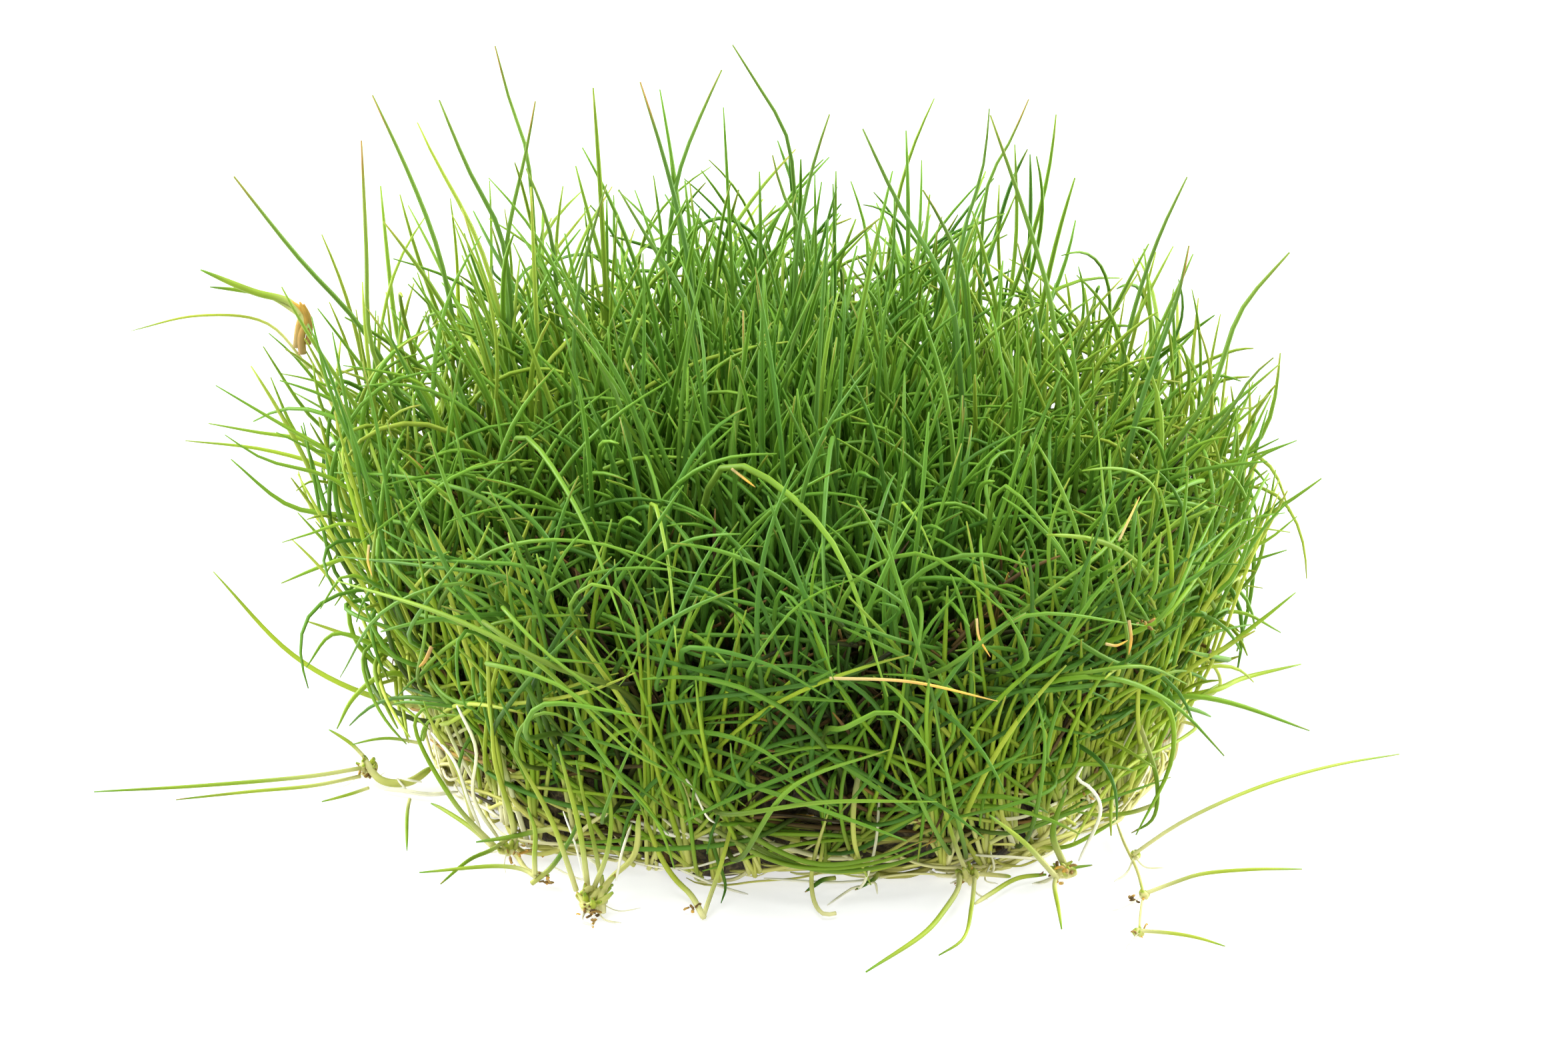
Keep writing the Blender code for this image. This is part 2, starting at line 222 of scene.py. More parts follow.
# The leaves between the middle and the front, which cross each other more
CROSSING_HABIT = dict(
    CANOPY_HABIT, leaf_spread=math.radians(25), curl=(math.radians(72), math.radians(42)), thickness=0.98
)
EDGE_HABIT = {
    "leaves": (3, 6),
    "lean": (math.radians(0), math.radians(24)),
    "crown_spread": math.radians(14),
    "sideways": 2.0,
    "leaf_spread": math.radians(31),
    "length": (31.0 * MM, 5.0 * MM),
    "length_limits": (16 * MM, 40 * MM),
    "tall": (40 * MM, 48 * MM),
    "tall_share": 0.010,
    "curl": (math.radians(95), math.radians(45)),
    "droop": 0.45,
    "thickness": 0.93,
    "gap_share": 1.0,
}
RIM_HABIT = {
    "leaves": (3, 7),
    "lean": (math.radians(18), math.radians(18)),
    "crown_spread": math.radians(19),
    "sideways": 2.6,
    "leaf_spread": math.radians(43),
    "length": (22.5 * MM, 6 * MM),
    "length_limits": (10 * MM, 35 * MM),
    "tall": (37 * MM, 44 * MM),
    "tall_share": 0.008,
    "curl": (math.radians(110), math.radians(50)),
    "droop": 0.22,
    "thickness": 0.86,
    "gap_share": 0.7,
}
FAN_HABIT = {
    "leaves": (6, 11),
    "lean": (math.radians(12), math.radians(12)),
    "crown_spread": math.radians(6),
    "sideways": 1.2,
    "leaf_spread": math.radians(16),
    "length": (25 * MM, 5 * MM),
    "length_limits": (13 * MM, 36 * MM),
    "tall": (36 * MM, 42 * MM),
    "tall_share": 0.008,
    "curl": (math.radians(42), math.radians(28)),
    "droop": 0.12,
    "thickness": 0.90,
    "gap_share": 0.3,
}

# Single leaves that stand above the canopy: (low, middle, tip) in mm, and tone
TALL_LEAVES = (
    ((-8.5, 5, 45), (-11, 8, 55), (-13, 10, 61), 0.30),
    ((-10, 20, 47.5), (-7, 24, 54.5), (-5.5, 25, 57.5), 0.45),
    ((2, 10, 45.5), (3.5, 13, 52), (5, 14, 56.5), 0.40),
    ((16, -2, 44.5), (11.5, 3, 51), (8, 5, 58), 0.35),
    ((17.5, 4, 47.5), (19.5, 7, 53.5), (20, 8, 59), 0.35),
    ((26, 0, 41.5), (23.5, 4, 49.5), (20, 6, 59), 0.60),
    ((-38.5, 0, 38), (-38.5, 0, 47.5), (-38.5, 0, 58.5), 0.80),
    ((-39.5, 4, 38), (-45, 2, 46), (-50.5, 0, 55), 0.58),
    ((-33, 15, 41.5), (-36, 18, 49), (-39.5, 20, 56.5), 0.55),
    ((-27, 15, 44), (-30, 18, 49), (-33, 20, 56), 0.50),
    ((-26.5, 15, 43), (-24.5, 18, 51.5), (-23.5, 18, 56.5), 0.55),
    ((-22, 15, 43), (-23, 16, 46.5), (-24.5, 17, 50), 0.50),
    ((-18.5, -8, 45.5), (-17, -8, 52), (-15.5, -8, 57), 0.40),
    ((34.5, 10, 37.5), (37, 12, 45), (39.5, 13, 50.5), 0.50),
    ((33.5, -10, 36), (37, -6, 45), (38, -5, 50), 0.30),
    ((41, -4, 35.5), (43.5, -1, 42), (48, 0, 47.5), 0.62),
    ((-13.8, -14, 36), (-16.4, -12, 41.5), (-19, -12, 45.5), 0.50),
    ((-4.1, -14, 33.5), (-3.1, -12, 40.5), (-3.1, -10, 45.5), 0.55),
    ((1, -4, 38), (2.5, -3, 42.5), (4.6, -2, 47), 0.50),
    ((-8.5, 0, 42.5), (-11.5, 3, 46.5), (-15, 5, 52), 0.35),
    ((1, 28, 49.5), (-1.5, 30, 53.5), (-4.5, 30, 58.5), 0.50),
    ((21, 25, 46), (23, 27, 49), (25, 28, 53.5), 0.55),
    ((-25, 25, 49.5), (-26.5, 28, 52.5), (-28, 28, 59), 0.55),
    ((18, 10, 41.5), (16, 12, 46), (14, 12, 49.5), 0.40),
    ((2, 16, 44.5), (0.5, 18, 47), (-0.5, 18, 51), 0.45),
    ((28, 0, 36), (29, 0, 40), (30, 0, 43), 0.50),
    ((25, 6, 37.5), (24, 8, 41.5), (23, 8, 45.5), 0.40),
    ((42.5, -6, 34), (44.5, -4, 36.5), (46.5, -4, 38.5), 0.50),
    ((-26, 8, 38.5), (-26.5, 10, 42.5), (-27.5, 10, 46.5), 0.45),
)
# Leaves that stand out from the sides, in the same way
SIDE_LEAVES = (
    ((-40.5, -8, 29.5), (-46.5, -7, 33), (-52.5, -6, 36.5), 0.55),
    ((-41, -12, 29.5), (-47.5, -12, 31.5), (-51, -12, 34), 0.60),
    ((-45, 4, 26.5), (-50, 4, 27.5), (-55, 4, 28.5), 0.70),
    ((-44.5, 10, 29.5), (-47, 10, 33), (-49.5, 10, 35.5), 0.60),
    ((-46.5, 6, 26), (-47.5, 6, 28), (-49, 6, 32.5), 0.70),
    ((-38.5, 4, 32), (-41, 5, 35.5), (-44, 5, 40), 0.60),
    ((-33, -6, 36.5), (-37.5, -6, 38), (-40.5, -6, 38.5), 0.55),
    ((-31, -4, 33.5), (-33.5, -2, 38), (-36.5, 0, 42), 0.50),
    ((-39.5, -14, 26), (-43, -14, 25), (-46, -14, 24), 0.65),
    ((-39.5, -20, 23.5), (-40.5, -20, 22.5), (-42, -20, 20), 0.60),
    ((-39, -8, 5), (-47, -4, 7.5), (-54.5, -2, 15.5), 0.85),
    ((-42, 6, 22), (-50, 8, 24), (-58, 8, 25), 0.80),
    ((-39, -8, 23.5), (-46, -7, 24.5), (-51.5, -6, 29), 0.60),
    ((-38, -10, 21), (-42.5, -9, 19.5), (-47, -9, 17.5), 0.65),
    ((-37.5, -12, 12), (-42, -11, 13.2), (-44.8, -11, 9.6), 0.60),
    ((-36.5, -14, 10.5), (-40, -14, 8), (-41.8, -14, 4.6), 0.70),
    ((-39, -6, 33), (-42.5, -6, 35.5), (-46.5, -6, 37), 0.50),
    ((-39, -2, 27), (-43.5, -2, 28), (-47.5, -3, 30.5), 0.60),
    ((-40, 2, 31), (-43.5, 2, 33.5), (-47.5, 2, 34.5), 0.65),
    ((-38, -8, 18), (-42, -7, 20), (-45.5, -6, 23.5), 0.70),
    ((36, -8, 26), (41.5, -6, 32), (45, -5, 36), 0.60),
    ((39.5, -4, 28.5), (43.5, -3, 31.5), (46.5, -2, 34), 0.65),
    ((39.5, -8, 17), (44, -7, 18.5), (48.5, -6, 19.6), 0.60),
    ((39, -12, 15), (43.5, -11, 15.5), (47.8, -10, 12.8), 0.65),
    ((40, -8, 24.5), (45, -6, 29), (49, -5, 30.5), 0.60),
    ((42, -10, 21.5), (45.5, -9, 21.5), (49, -8, 24), 0.70),
    ((41, -4, 27), (45, -4, 28.5), (49, -4, 30), 0.65),
    ((40.5, -14, 12), (45, -12, 14.5), (49, -10, 17), 0.70),
    ((40.5, -16, 9.5), (44.5, -10, 8), (50.5, -6, 7.5), 0.80),
    ((34, -31, 24), (42.5, -16, 27), (47, -14, 27), 0.55),
    ((28, -37, 21.5), (36, -30, 15), (40.5, -30, 10), 0.42),
    ((36.5, -26, 14), (41, -25, 13), (49, -24, 9.5), 0.50),
    ((35, -29, 15), (36, -28.5, 9), (32.5, -33, 3.5), 0.62),
)
# Leaves that cross the front: (foot, middle, tip) in mm, tone and thickness
FRONT_LEAVES = (
    ((-22.5, -34.5, 29.5), (-30, -30.5, 29), (-40, -21.5, 26), 0.55, 1.0),
    ((-20.5, -34.5, 30.5), (-27, -31.5, 30), (-36, -25.5, 27.5), 0.60, 1.0),
    ((-18.5, -42, 24.5), (-28.5, -35.5, 26.5), (-40, -23.5, 24.5), 0.95, 1.2),
    ((-27, -32.5, 28.5), (-34.5, -30, 25), (-40.5, -20, 13), 0.70, 0.9),
    ((-28, -19, 33.5), (-33.5, -22, 31), (-38.5, -22, 27), 0.75, 1.0),
    ((-24.5, -26, 32.5), (-32, -19, 32.5), (-42, -8, 28.5), 0.65, 1.1),
    ((-23.5, -16.5, 36), (-17.5, -29.5, 34), (-13, -41.5, 28), 0.80, 1.2),
    ((-20, -36.5, 29.5), (-13.5, -36, 31.5), (-4, -38, 31.5), 0.72, 0.9),
    ((-24, -36.5, 28), (-19.5, -41.5, 25.5), (-13, -45, 22.5), 0.85, 1.0),
    ((-4.5, -25.5, 37), (4.5, -34.5, 34), (9.5, -46, 24), 0.86, 1.5),
    ((-11, -29, 35), (-9.5, -36, 32.5), (-8.5, -44, 26.5), 0.97, 1.0),
    ((7, -38, 31.5), (12.5, -36, 33), (20.5, -39, 28), 0.80, 1.1),
    ((-2, -44.5, 26.5), (2, -41, 30.5), (7, -38, 31.5), 0.75, 0.9),
    ((10.5, -29, 35), (12.5, -32, 34), (14, -35.5, 31.5), 0.95, 0.9),
    ((5, -21.5, 38), (4, -34.5, 33.5), (4.5, -45, 26), 0.55, 1.1),
    ((0.5, -39.5, 31), (3.5, -43, 28.5), (5, -46, 25), 0.60, 1.0),
    ((-7.5, -43.5, 27.5), (-0.5, -45, 26.5), (4.5, -46.5, 24), 0.50, 1.2),
    ((31, -34.5, 20.5), (29.5, -28.5, 30), (29.5, -13, 35), 0.85, 0.9),
    ((23.5, -35, 28.5), (29, -29, 30), (34.5, -17, 31.5), 0.82, 1.0),
    ((20, -24.5, 34.5), (23.5, -28.5, 32.5), (27, -33, 28.5), 0.80, 1.1),
    ((34, -31, 24), (37.5, -24, 27), (41, -15, 29), 0.78, 1.0),
    ((15.5, -42.5, 25.5), (21, -39.5, 28.5), (32.5, -33, 24.5), 0.75, 1.1),
    ((28, -37, 22), (32.5, -34, 21), (37, -28.5, 16.5), 0.85, 1.0),
    ((-22, -40, 17), (-20.5, -42.5, 21.5), (-11, -46, 22), 0.75, 1.3),
    ((-25.5, -38.5, 23.5), (-18.5, -43, 23.5), (-11, -46, 18), 0.82, 1.1),
    ((-17.5, -43, 21), (-14, -44.5, 16), (-9.5, -43, 9), 0.72, 1.0),
    ((-15.5, -40, 8.5), (-13.5, -44, 16), (-11.5, -46, 21.5), 0.70, 0.9),
    ((-4, -44, 11.5), (4, -46, 13.8), (14, -43.5, 12.5), 0.88, 1.1),
    ((-3.5, -41.5, 5.5), (1.5, -46, 15.5), (10, -46, 19), 0.84, 1.1),
    ((6, -46, 21), (9.5, -46.5, 23), (14.5, -44.5, 16), 0.80, 1.2),
    ((15.5, -37.5, 4), (12.5, -43.5, 12.5), (10.5, -46, 19.5), 0.80, 1.0),
    ((17, -36.5, 3), (15, -43, 14), (13.5, -45.5, 22.5), 0.78, 1.0),
    ((20.5, -36.5, 5.5), (27, -33, 6), (36, -27.5, 6.5), 0.78, 0.9),
    ((22, -33.5, 2.5), (23.5, -40, 16), (22.5, -41.5, 22), 0.72, 1.0),
    ((-31, -24, 21.5), (-25, -31, 31), (-16, -36, 34), (-7.8, -38, 32), 0.80, 1.0),
    (
        (-18, -39, 29.5), (-15.3, -41, 32.5), (-12.4, -42.5, 31),
        (-11.8, -43.5, 26.5), (-13.6, -43, 23.5), 0.85, 0.9,
    ),
    (
        (-26, -35, 26), (-21.3, -39.5, 24.5), (-17.7, -41.5, 22),
        (-13, -43.5, 17.5), (-9.5, -43.5, 15.5), 0.95, 1.1,
    ),
    ((-28, -33, 24), (-28.2, -34, 18.5), (-27, -34.5, 16.2), (-26, -34, 18), 0.60, 0.9),
    ((-23, -35, 12), (-22.5, -38, 17), (-20, -40, 19.5), (-16, -42, 18.5), 0.85, 1.0),
)
# Withered leaves and tips at the front, in the same way
WITHERED_LEAVES = (
    ((4.5, -45.5, 25.5), (11.5, -45.2, 25), (19, -43.9, 22.5), 0.88, 0.52),
    ((17.2, -41, 29), (17.4, -41.6, 27.5), (18.4, -42, 25.8), 0.84, 0.45),
    ((30.5, -27, 30), (31.5, -25.5, 31.5), (32.5, -24, 33), 0.95, 0.45),
    ((31, -34, 25.5), (31.2, -34.6, 24), (31, -35, 22.6), 0.72, 0.6),
    ((28.8, -36.5, 24.4), (29.8, -36.2, 24.1), (30.8, -35.8, 24.4), 0.80, 0.5),
    ((-4, -27, 37), (-3, -28, 36.6), (-1.9, -29.2, 36.2), 0.82, 0.5),
    ((-36.5, -26.5, 29.4), (-36.6, -27.0, 28), (-36.2, -27.6, 26.8), 0.90, 0.45),
    ((-30.4, -35, 23.4), (-31, -35.4, 22.2), (-31.6, -35, 21.4), 0.60, 0.7),
)
# The brown, curled shoot at the left back
WITHERED_SHOOT = (
    ((-46.6, 12, 32.6), (-46.6, 12, 34.4), (-46.0, 12, 36.4), (-46.6, 12, 38.0), 0.62, 1.6),
    ((-47.2, 12.2, 33.2), (-46.9, 12.2, 35.2), (-46.5, 12.2, 37.0), (-48.0, 12.4, 38.2), 0.70, 1.4),
    ((-46.0, 12, 33.6), (-45.7, 12, 36.0), (-46.2, 12, 37.8), 0.52, 1.2),
)
WITHERED_SHOOT_LEAVES = (
    ((-45.8, 12, 35.4), (-47.6, 12.4, 37.8), (-51.0, 13, 38.6), (-56.4, 14, 40.6), 0.52, 1.45),
    ((-46.6, 12, 36.6), (-49.6, 12.8, 38.3), (-53.0, 14, 38.5), (-55.6, 14, 38.8), 0.45, 1.0),
    ((-41.0, 10, 22.0), (-43.6, 11, 27.0), (-45.4, 12, 31.0), (-46.6, 12, 33.6), 0.88, 0.7),
    ((-46, 12, 31), (-50, 13, 35.4), (-57, 14, 35.8), (-63.6, 14, 34.2), 0.72, 0.6),
)

# The daughter plantlets: crown (place, half sizes), then its leaves and its runners. Each of those is a
# route in mm with its tone and thickness.
PLANTLETS = {
    "plantlet_left": {
        "crown": ((-39.0, -16.3, 1.6), (0.9, 0.8, 1.1)),
        "leaves": (
            ((-39.4, -17.1, 2.0), (-43.5, -19.8, 2.6), (-54.4, -20.7, 2.0), (-64.3, -19.2, 0.6), 0.50, 0.9),
            ((-39.4, -17.2, 1.2), (-43.6, -19.1, 1.2), (-49.4, -19.9, 1.0), (-56.4, -20.6, 0.5), 0.62, 0.8),
            ((-38.5, -18.8, 0.8), (-39.9, -19.9, 0.8), (-41.3, -20.6, 0.7), (-42.7, -21.0, 0.5), 0.55, 0.7),
            ((-39.2, -15.8, 2.6), (-40.3, -15.0, 3.4), (-41.4, -14.5, 4.0), (-42.6, -13.8, 4.4), 0.60, 0.8),
            ((-33.5, -17.8, 5.0), (-36.3, -16.8, 5.0), (-38.0, -16.2, 4.6), (-40.2, -15.7, 3.8), 0.45, 0.6),
        ),
        "runners": (
            ((-39.2, -15.8, 2.4), (-37.5, -17.4, 0.9), (-34.9, -17.7, 0.8), (-32.8, -15.9, 1.4), 0.85, 1.5),
        ),
    },
    "plantlet_front_left": {
        "crown": ((-24.6, -30.8, 1.0), (0.9, 0.8, 0.8)),
        "leaves": (
            ((-21.7, -36.8, 1.2), (-22.7, -35.8, 1.4), (-24.8, -35.4, 1.6), (-32.4, -34.6, 0.5), 0.55, 0.8),
            ((-24.5, -29.6, 1.4), (-26.1, -32.1, 1.4), (-27.8, -33.3, 1.2), (-30.3, -36.7, 0.5), 0.40, 0.8),
            ((-20.0, -32.7, 4.0), (-21.5, -32.0, 3.4), (-24.4, -31.4, 2.4), (-27.5, -30.5, 1.4), 0.35, 0.9),
            ((-25.9, -30.6, 0.8), (-28.2, -28.4, 1.8), (-31.0, -24.9, 1.8), (-32.3, -22.3, 1.0), 0.60, 0.9),
            ((-21.8, -36.4, 1.2), (-21.7, -37.6, 4.0), (-21.5, -38.7, 7.0), (-22.0, -40.0, 10.0), 0.55, 0.9),
            ((-22.1, -36.8, 0.6), (-20.5, -36.8, 2.0), (-18.4, -38.3, 6.0), (-17.4, -39.5, 9.0), 0.10, 0.9),
        ),
        "runners": (
            ((-24.8, -30.3, 1.0), (-23.7, -32.0, 0.7), (-22.4, -34.6, 0.6), (-20.6, -35.3, 0.6), 0.98, 0.9),
        ),
    },
    "plantlet_front": {
        "crown": ((-16.3, -41.2, 1.6), (1.8, 1.9, 1.3)),
        "leaves": (
            ((-17.9, -40.1, 1.8), (-18.8, -41.2, 6), (-19.9, -43.2, 11), (-23.0, -45.3, 19), 0.68, 1.0),
            ((-16.9, -39.7, 2.0), (-17.3, -42.4, 9), (-18.2, -43.0, 14), (-19.0, -43.3, 18), 0.62, 1.0),
            ((-15.6, -39.3, 1.8), (-16.3, -40.1, 7), (-17.0, -40.3, 11), (-17.6, -40.5, 15), 0.58, 0.9),
            ((-16.4, -40.2, 1.8), (-15.0, -40.6, 6), (-14.6, -41.6, 11), (-15.4, -42.6, 16), 0.50, 0.9),
        ),
        "runners": (
            ((-15.8, -40.4, 1.2), (-14.9, -37.2, 1.4), (-12.9, -37.4, 3.6), (-12.2, -39.8, 9.2), 0.88, 1.0),
        ),
    },
    "plantlet_front_right": {
        "crown": ((17.1, -36.3, 1.2), (1.1, 0.8, 0.8)),
        "leaves": (
            (
                (16.4, -36.6, 1.4), (16.2, -39.1, 1.4), (14.9, -42.5, 1.2),
                (13.0, -46.3, 1.0), (7.7, -52.2, 0.5), 0.60, 1.0,
            ),
            ((17.8, -36.4, 1.2), (17.3, -41.5, 1.0), (16.2, -47.3, 0.8), (14.1, -49.2, 0.4), 0.68, 0.8),
            ((17.0, -36.0, 1.4), (15.9, -37.2, 5.0), (14.8, -40.0, 10.0), (14.4, -42.0, 14.0), 0.60, 0.9),
        ),
        "runners": (
            ((17.6, -41.2, 1.0), (19.0, -39.3, 0.9), (21.8, -36.1, 0.8), (24.3, -35.5, 0.8), 0.70, 0.8),
            ((17.8, -35.8, 1.0), (19.0, -35.5, 0.8), (20.1, -35.5, 0.7), (21.1, -35.7, 0.7), 0.95, 0.8),
        ),
    },
    "plantlet_right": {
        "crown": ((25.6, -35.5, 1.1), (1.3, 0.7, 0.7)),
        "leaves": (
            ((25.2, -36.2, 1.2), (24.9, -37.6, 1.0), (25.0, -42.0, 0.9), (25.1, -44.8, 0.5), 0.65, 0.8),
            ((25.5, -35.3, 1.0), (26.9, -34.4, 0.9), (28.6, -33.4, 0.6), 0.30, 0.7),
            ((26.0, -34.7, 1.2), (24.9, -34.6, 4.0), (24.9, -35.4, 6.0), (25.8, -36.6, 10.0), 0.30, 1.2),
            ((25.3, -36.8, 1.0), (23.9, -36.3, 2.5), (22.3, -37.6, 5.0), (18.6, -43.2, 11.0), 0.60, 1.0),
        ),
        "runners": (),
    },
    "runner_right": {
        "crown": ((32.5, -32.2, 0.9), (0.4, 0.5, 0.4)),
        "leaves": (
            (
                (32.4, -32.5, 1.2), (36.3, -31.0, 3.4), (44.0, -25.4, 4.2),
                (52.2, -18.5, 3.0), (59.4, -12.7, 1.2), 0.66, 0.75,
            ),
        ),
        "runners": (
            ((31.4, -26.1, 1.0), (31.8, -29.5, 0.8), (32.6, -34.3, 0.6), (32.8, -39.0, 0.7), 0.95, 0.55),
        ),
    },
    "plantlet_runner_middle": {
        "crown": ((32.8, -39.2, 0.8), (0.5, 0.4, 0.4)),
        "leaves": (
            (
                (32.7, -39.3, 0.9), (35.7, -38.3, 1.6), (37.9, -37.6, 2.0),
                (42.9, -36.7, 2.0), (47.5, -34.5, 0.8), 0.66, 0.8,
            ),
        ),
        "runners": (
            ((32.8, -39.0, 0.7), (32.4, -41.1, 0.4), (31.9, -45.2, 0.6), 0.98, 0.45),
        ),
    },
    "plantlet_runner_end": {
        "crown": ((31.9, -45.6, 0.7), (0.4, 0.4, 0.3)),
        "leaves": (
            ((31.9, -45.6, 0.8), (34.9, -47.0, 1.3), (36.9, -47.6, 1.2), (39.2, -47.8, 0.5), 0.70, 0.7),
        ),
        "runners": (),
    },
}
# Shoots, stems and tips at the foot of the front and the left: route in mm, tone and thickness
SMALL_SHOOTS = (
    (
        (-6.5, -42.7, 0.5), (-7.8, -39.3, 1.0), (-8.9, -38.3, 1.6),
        (-10.2, -37.8, 3.4), (-12.4, -35, 8), 0.75, 1.1,
    ),
    (
        (-6.5, -42.4, 0.5), (-6.0, -40.8, 1.4), (-5.5, -39.7, 2.4),
        (-4.6, -39.6, 5.6), (-3.2, -35.5, 10), 0.70, 0.9,
    ),
    ((-6.6, -35.4, 8), (-5.4, -38.0, 4), (-4.6, -38.7, 1.4), (-5.0, -40.2, 0.5), 0.08, 0.8),
    ((5.2, -42.0, 0.5), (4.2, -42.4, 0.6), (3.3, -40.6, 0.9), (3.1, -38.8, 3.0), (4.8, -37.2, 9), 0.86, 0.8),
    ((5.2, -36.5, 1.0), (4.1, -37.2, 1.2), (3.4, -37.8, 1.0), (2.5, -38.2, 0.5), 0.05, 0.9),
    ((9.1, -36.0, 1.2), (8.8, -36.6, 1.0), (8.0, -37.2, 0.8), (7.0, -37.8, 0.5), 0.05, 0.8),
    ((7.4, -35.0, 11.5), (6.8, -38.4, 9.4), (6.9, -39.4, 6), (8.4, -38.5, 1.4), 0.82, 1.0),
    ((19.1, -35.8, 4.2), (21.8, -34.8, 5.2), (24.8, -32.6, 4.9), (28.1, -30.4, 5.8), 0.35, 0.9),
    ((33.2, -26, 11), (34.6, -29.4, 7), (34.2, -30.9, 4), (32.3, -30.8, 2.5), 0.30, 0.9),
    ((34.6, -29.9, 5), (32.2, -28.8, 3.5), (29.3, -29.2, 3.5), (27.1, -29.4, 4), 0.55, 0.8),
    ((-34.4, -21.5, 1.0), (-34.4, -23.8, 1.0), (-34.3, -25.7, 0.8), (-33.9, -30.3, 0.4), 0.45, 0.7),
    (
        (-25.6, -30.3, 0.6), (-29.5, -28.8, 4.5), (-33.3, -25.0, 11),
        (-31.6, -25.5, 12.8), (-30.2, -25.8, 12), 0.45, 0.9,
    ),
    ((-23.9, -30.0, 0.6), (-24.2, -32.3, 5.6), (-25.3, -32.9, 10.7), (-25.5, -33.7, 16.9), 0.72, 1.0),
    ((-28.0, -27.5, 2.0), (-29.1, -28.5, 7.6), (-31.4, -27.1, 11.7), (-32.2, -26.5, 13.8), 0.78, 0.9),
    ((-10.2, -35, 14), (-8.6, -38.2, 12), (-7.2, -39.6, 8.6), 0.92, 0.8),
    (
        (-8.6, -35.4, 9.6), (0.2, -40.0, 5.6), (4.1, -40.2, 4.4),
        (9.0, -39.7, 4.9), (13.2, -39.2, 6.4), 0.30, 1.0,
    ),
    (
        (-10, -34.6, 8), (-0.4, -39.8, 4.6), (4.0, -39.8, 3.8),
        (9.4, -39.2, 4.2), (14.6, -38.2, 6.0), 0.42, 0.9,
    ),
    ((-8, -34.6, 7), (1.2, -39.6, 4.2), (5.2, -39.4, 3.3), (10.4, -38.6, 3.6), (15.6, -37.2, 5.0), 0.25, 0.9),
    ((-5, -34.6, 5), (3.0, -38.8, 3.2), (8.4, -38.4, 2.8), (14.6, -36.6, 4.0), 0.60, 0.8),
)
# Loose white roots and stems: route in mm and thickness
WHITE_ROOTS = (
    ((9.2, -34.8, 9), (8.2, -38.6, 4.4), (7.5, -38.0, 1.2), (6.6, -38.0, 0.6), (4.5, -40.2, 0.3), 1.0),
    ((8.6, -36.5, 1.2), (8.5, -37.0, 0.9), (8.6, -37.6, 0.6), (9.0, -38.2, 0.3), 0.7),
    ((19.3, -34.0, 2.4), (19.2, -34.2, 1.4), (17.2, -35.4, 0.6), (15.6, -36.6, 0.5), 0.8),
    ((19.3, -34.4, 1.2), (19.7, -35.4, 0.5), (19.9, -36.5, 0.4), 0.6),
    (
        (27.4, -33.5, 10.7), (28.6, -33.8, 9.6), (29.0, -34.0, 8.0),
        (28.9, -33.6, 5.9), (27.4, -33.0, 0.8), 1.1,
    ),
    ((-37.1, -18.5, 0.5), (-34.8, -19.0, 0.5), (-31.8, -19.2, 0.6), (-30.0, -19.6, 0.8), 1.3),
    ((-34.8, -19.0, 0.5), (-34.6, -18.9, 1.2), (-34.0, -18.9, 1.6), (-33.5, -18.4, 1.2), 0.9),
    ((-25.4, -29.0, 0.6), (-26.6, -30.7, 6.7), (-27.5, -31.1, 10.9), (-28.8, -30.6, 15.4), 1.2),
    ((-27.3, -27.5, 1.0), (-28.2, -28.7, 5.2), (-29.1, -28.5, 7.6), (-31.6, -26.6, 10.6), 1.1),
    ((-15.3, -39.3, 1.4), (-16.3, -39.6, 3.4), (-16.8, -40.1, 5.0), 1.1),
    ((-17.0, -41.6, 0.8), (-16.7, -43.0, 0.9), (-16.2, -44.2, 0.5), 1.2),
    ((-13.0, -37.4, 7), (-13.9, -39.2, 5), (-14.3, -40.6, 3), 0.8),
    ((-19.2, -35.0, 7), (-18.2, -38.0, 5), (-17.2, -40.2, 2.8), 0.8),
    ((-1.2, -36.2, 0.8), (5.3, -36.1, 0.8), (11.7, -35.0, 0.8), (17.1, -32.9, 1.0), 0.8),
    ((-9.4, -36, 12.6), (-7.6, -39.2, 11.4), (-6.3, -40.0, 9.7), (-5.5, -39.6, 8.3), 0.8),
    ((-9.0, -38.2, 3.0), (-8.0, -38.6, 1.6), (-5.0, -39.2, 0.8), (-2.6, -38.6, 0.5), 0.8),
    ((-31.6, -20.8, 3.4), (-30.4, -23.4, 2.0), (-28.6, -26.0, 1.0), 1.2),
    ((-20.6, -33.4, 0.6), (-19.0, -35.0, 0.4), (-17.0, -36.0, 0.4), 0.6),
)
# Heaps of brown scraps at the crowns: middle in mm, spread in mm and count
SCRAP_HEAPS = (
    ((-39.2, -16.4, 1.2), 0.9, 12),
    ((-23.6, -31.2, 0.8), 1.2, 14),
    ((-20.9, -36.2, 0.7), 0.9, 8),
    ((-16.4, -42.6, 1.0), 0.9, 14),
    ((-7.2, -41.3, 0.7), 0.4, 5),
    ((25.6, -35.4, 0.9), 1.5, 20),
    ((17.2, -36.2, 1.0), 0.9, 8),
    ((32.2, -39.2, 0.7), 0.7, 6),
    ((31.9, -45.6, 0.7), 0.4, 4),
    ((32.6, -31.6, 24.0), 0.6, 5),
    ((-1.5, -36.5, 14.0), 2.4, 8),
    ((29, -29.0, 6.0), 1.4, 6),
)

# How thick and dark the listed leaves are, against their rows' own values
TALL_THICKNESSES = (0.85, 1.1)
SIDE_THICKNESSES = (0.95, 1.2)
FRONT_THICKNESS = 0.85
FRONT_DARKNESS = 0.17
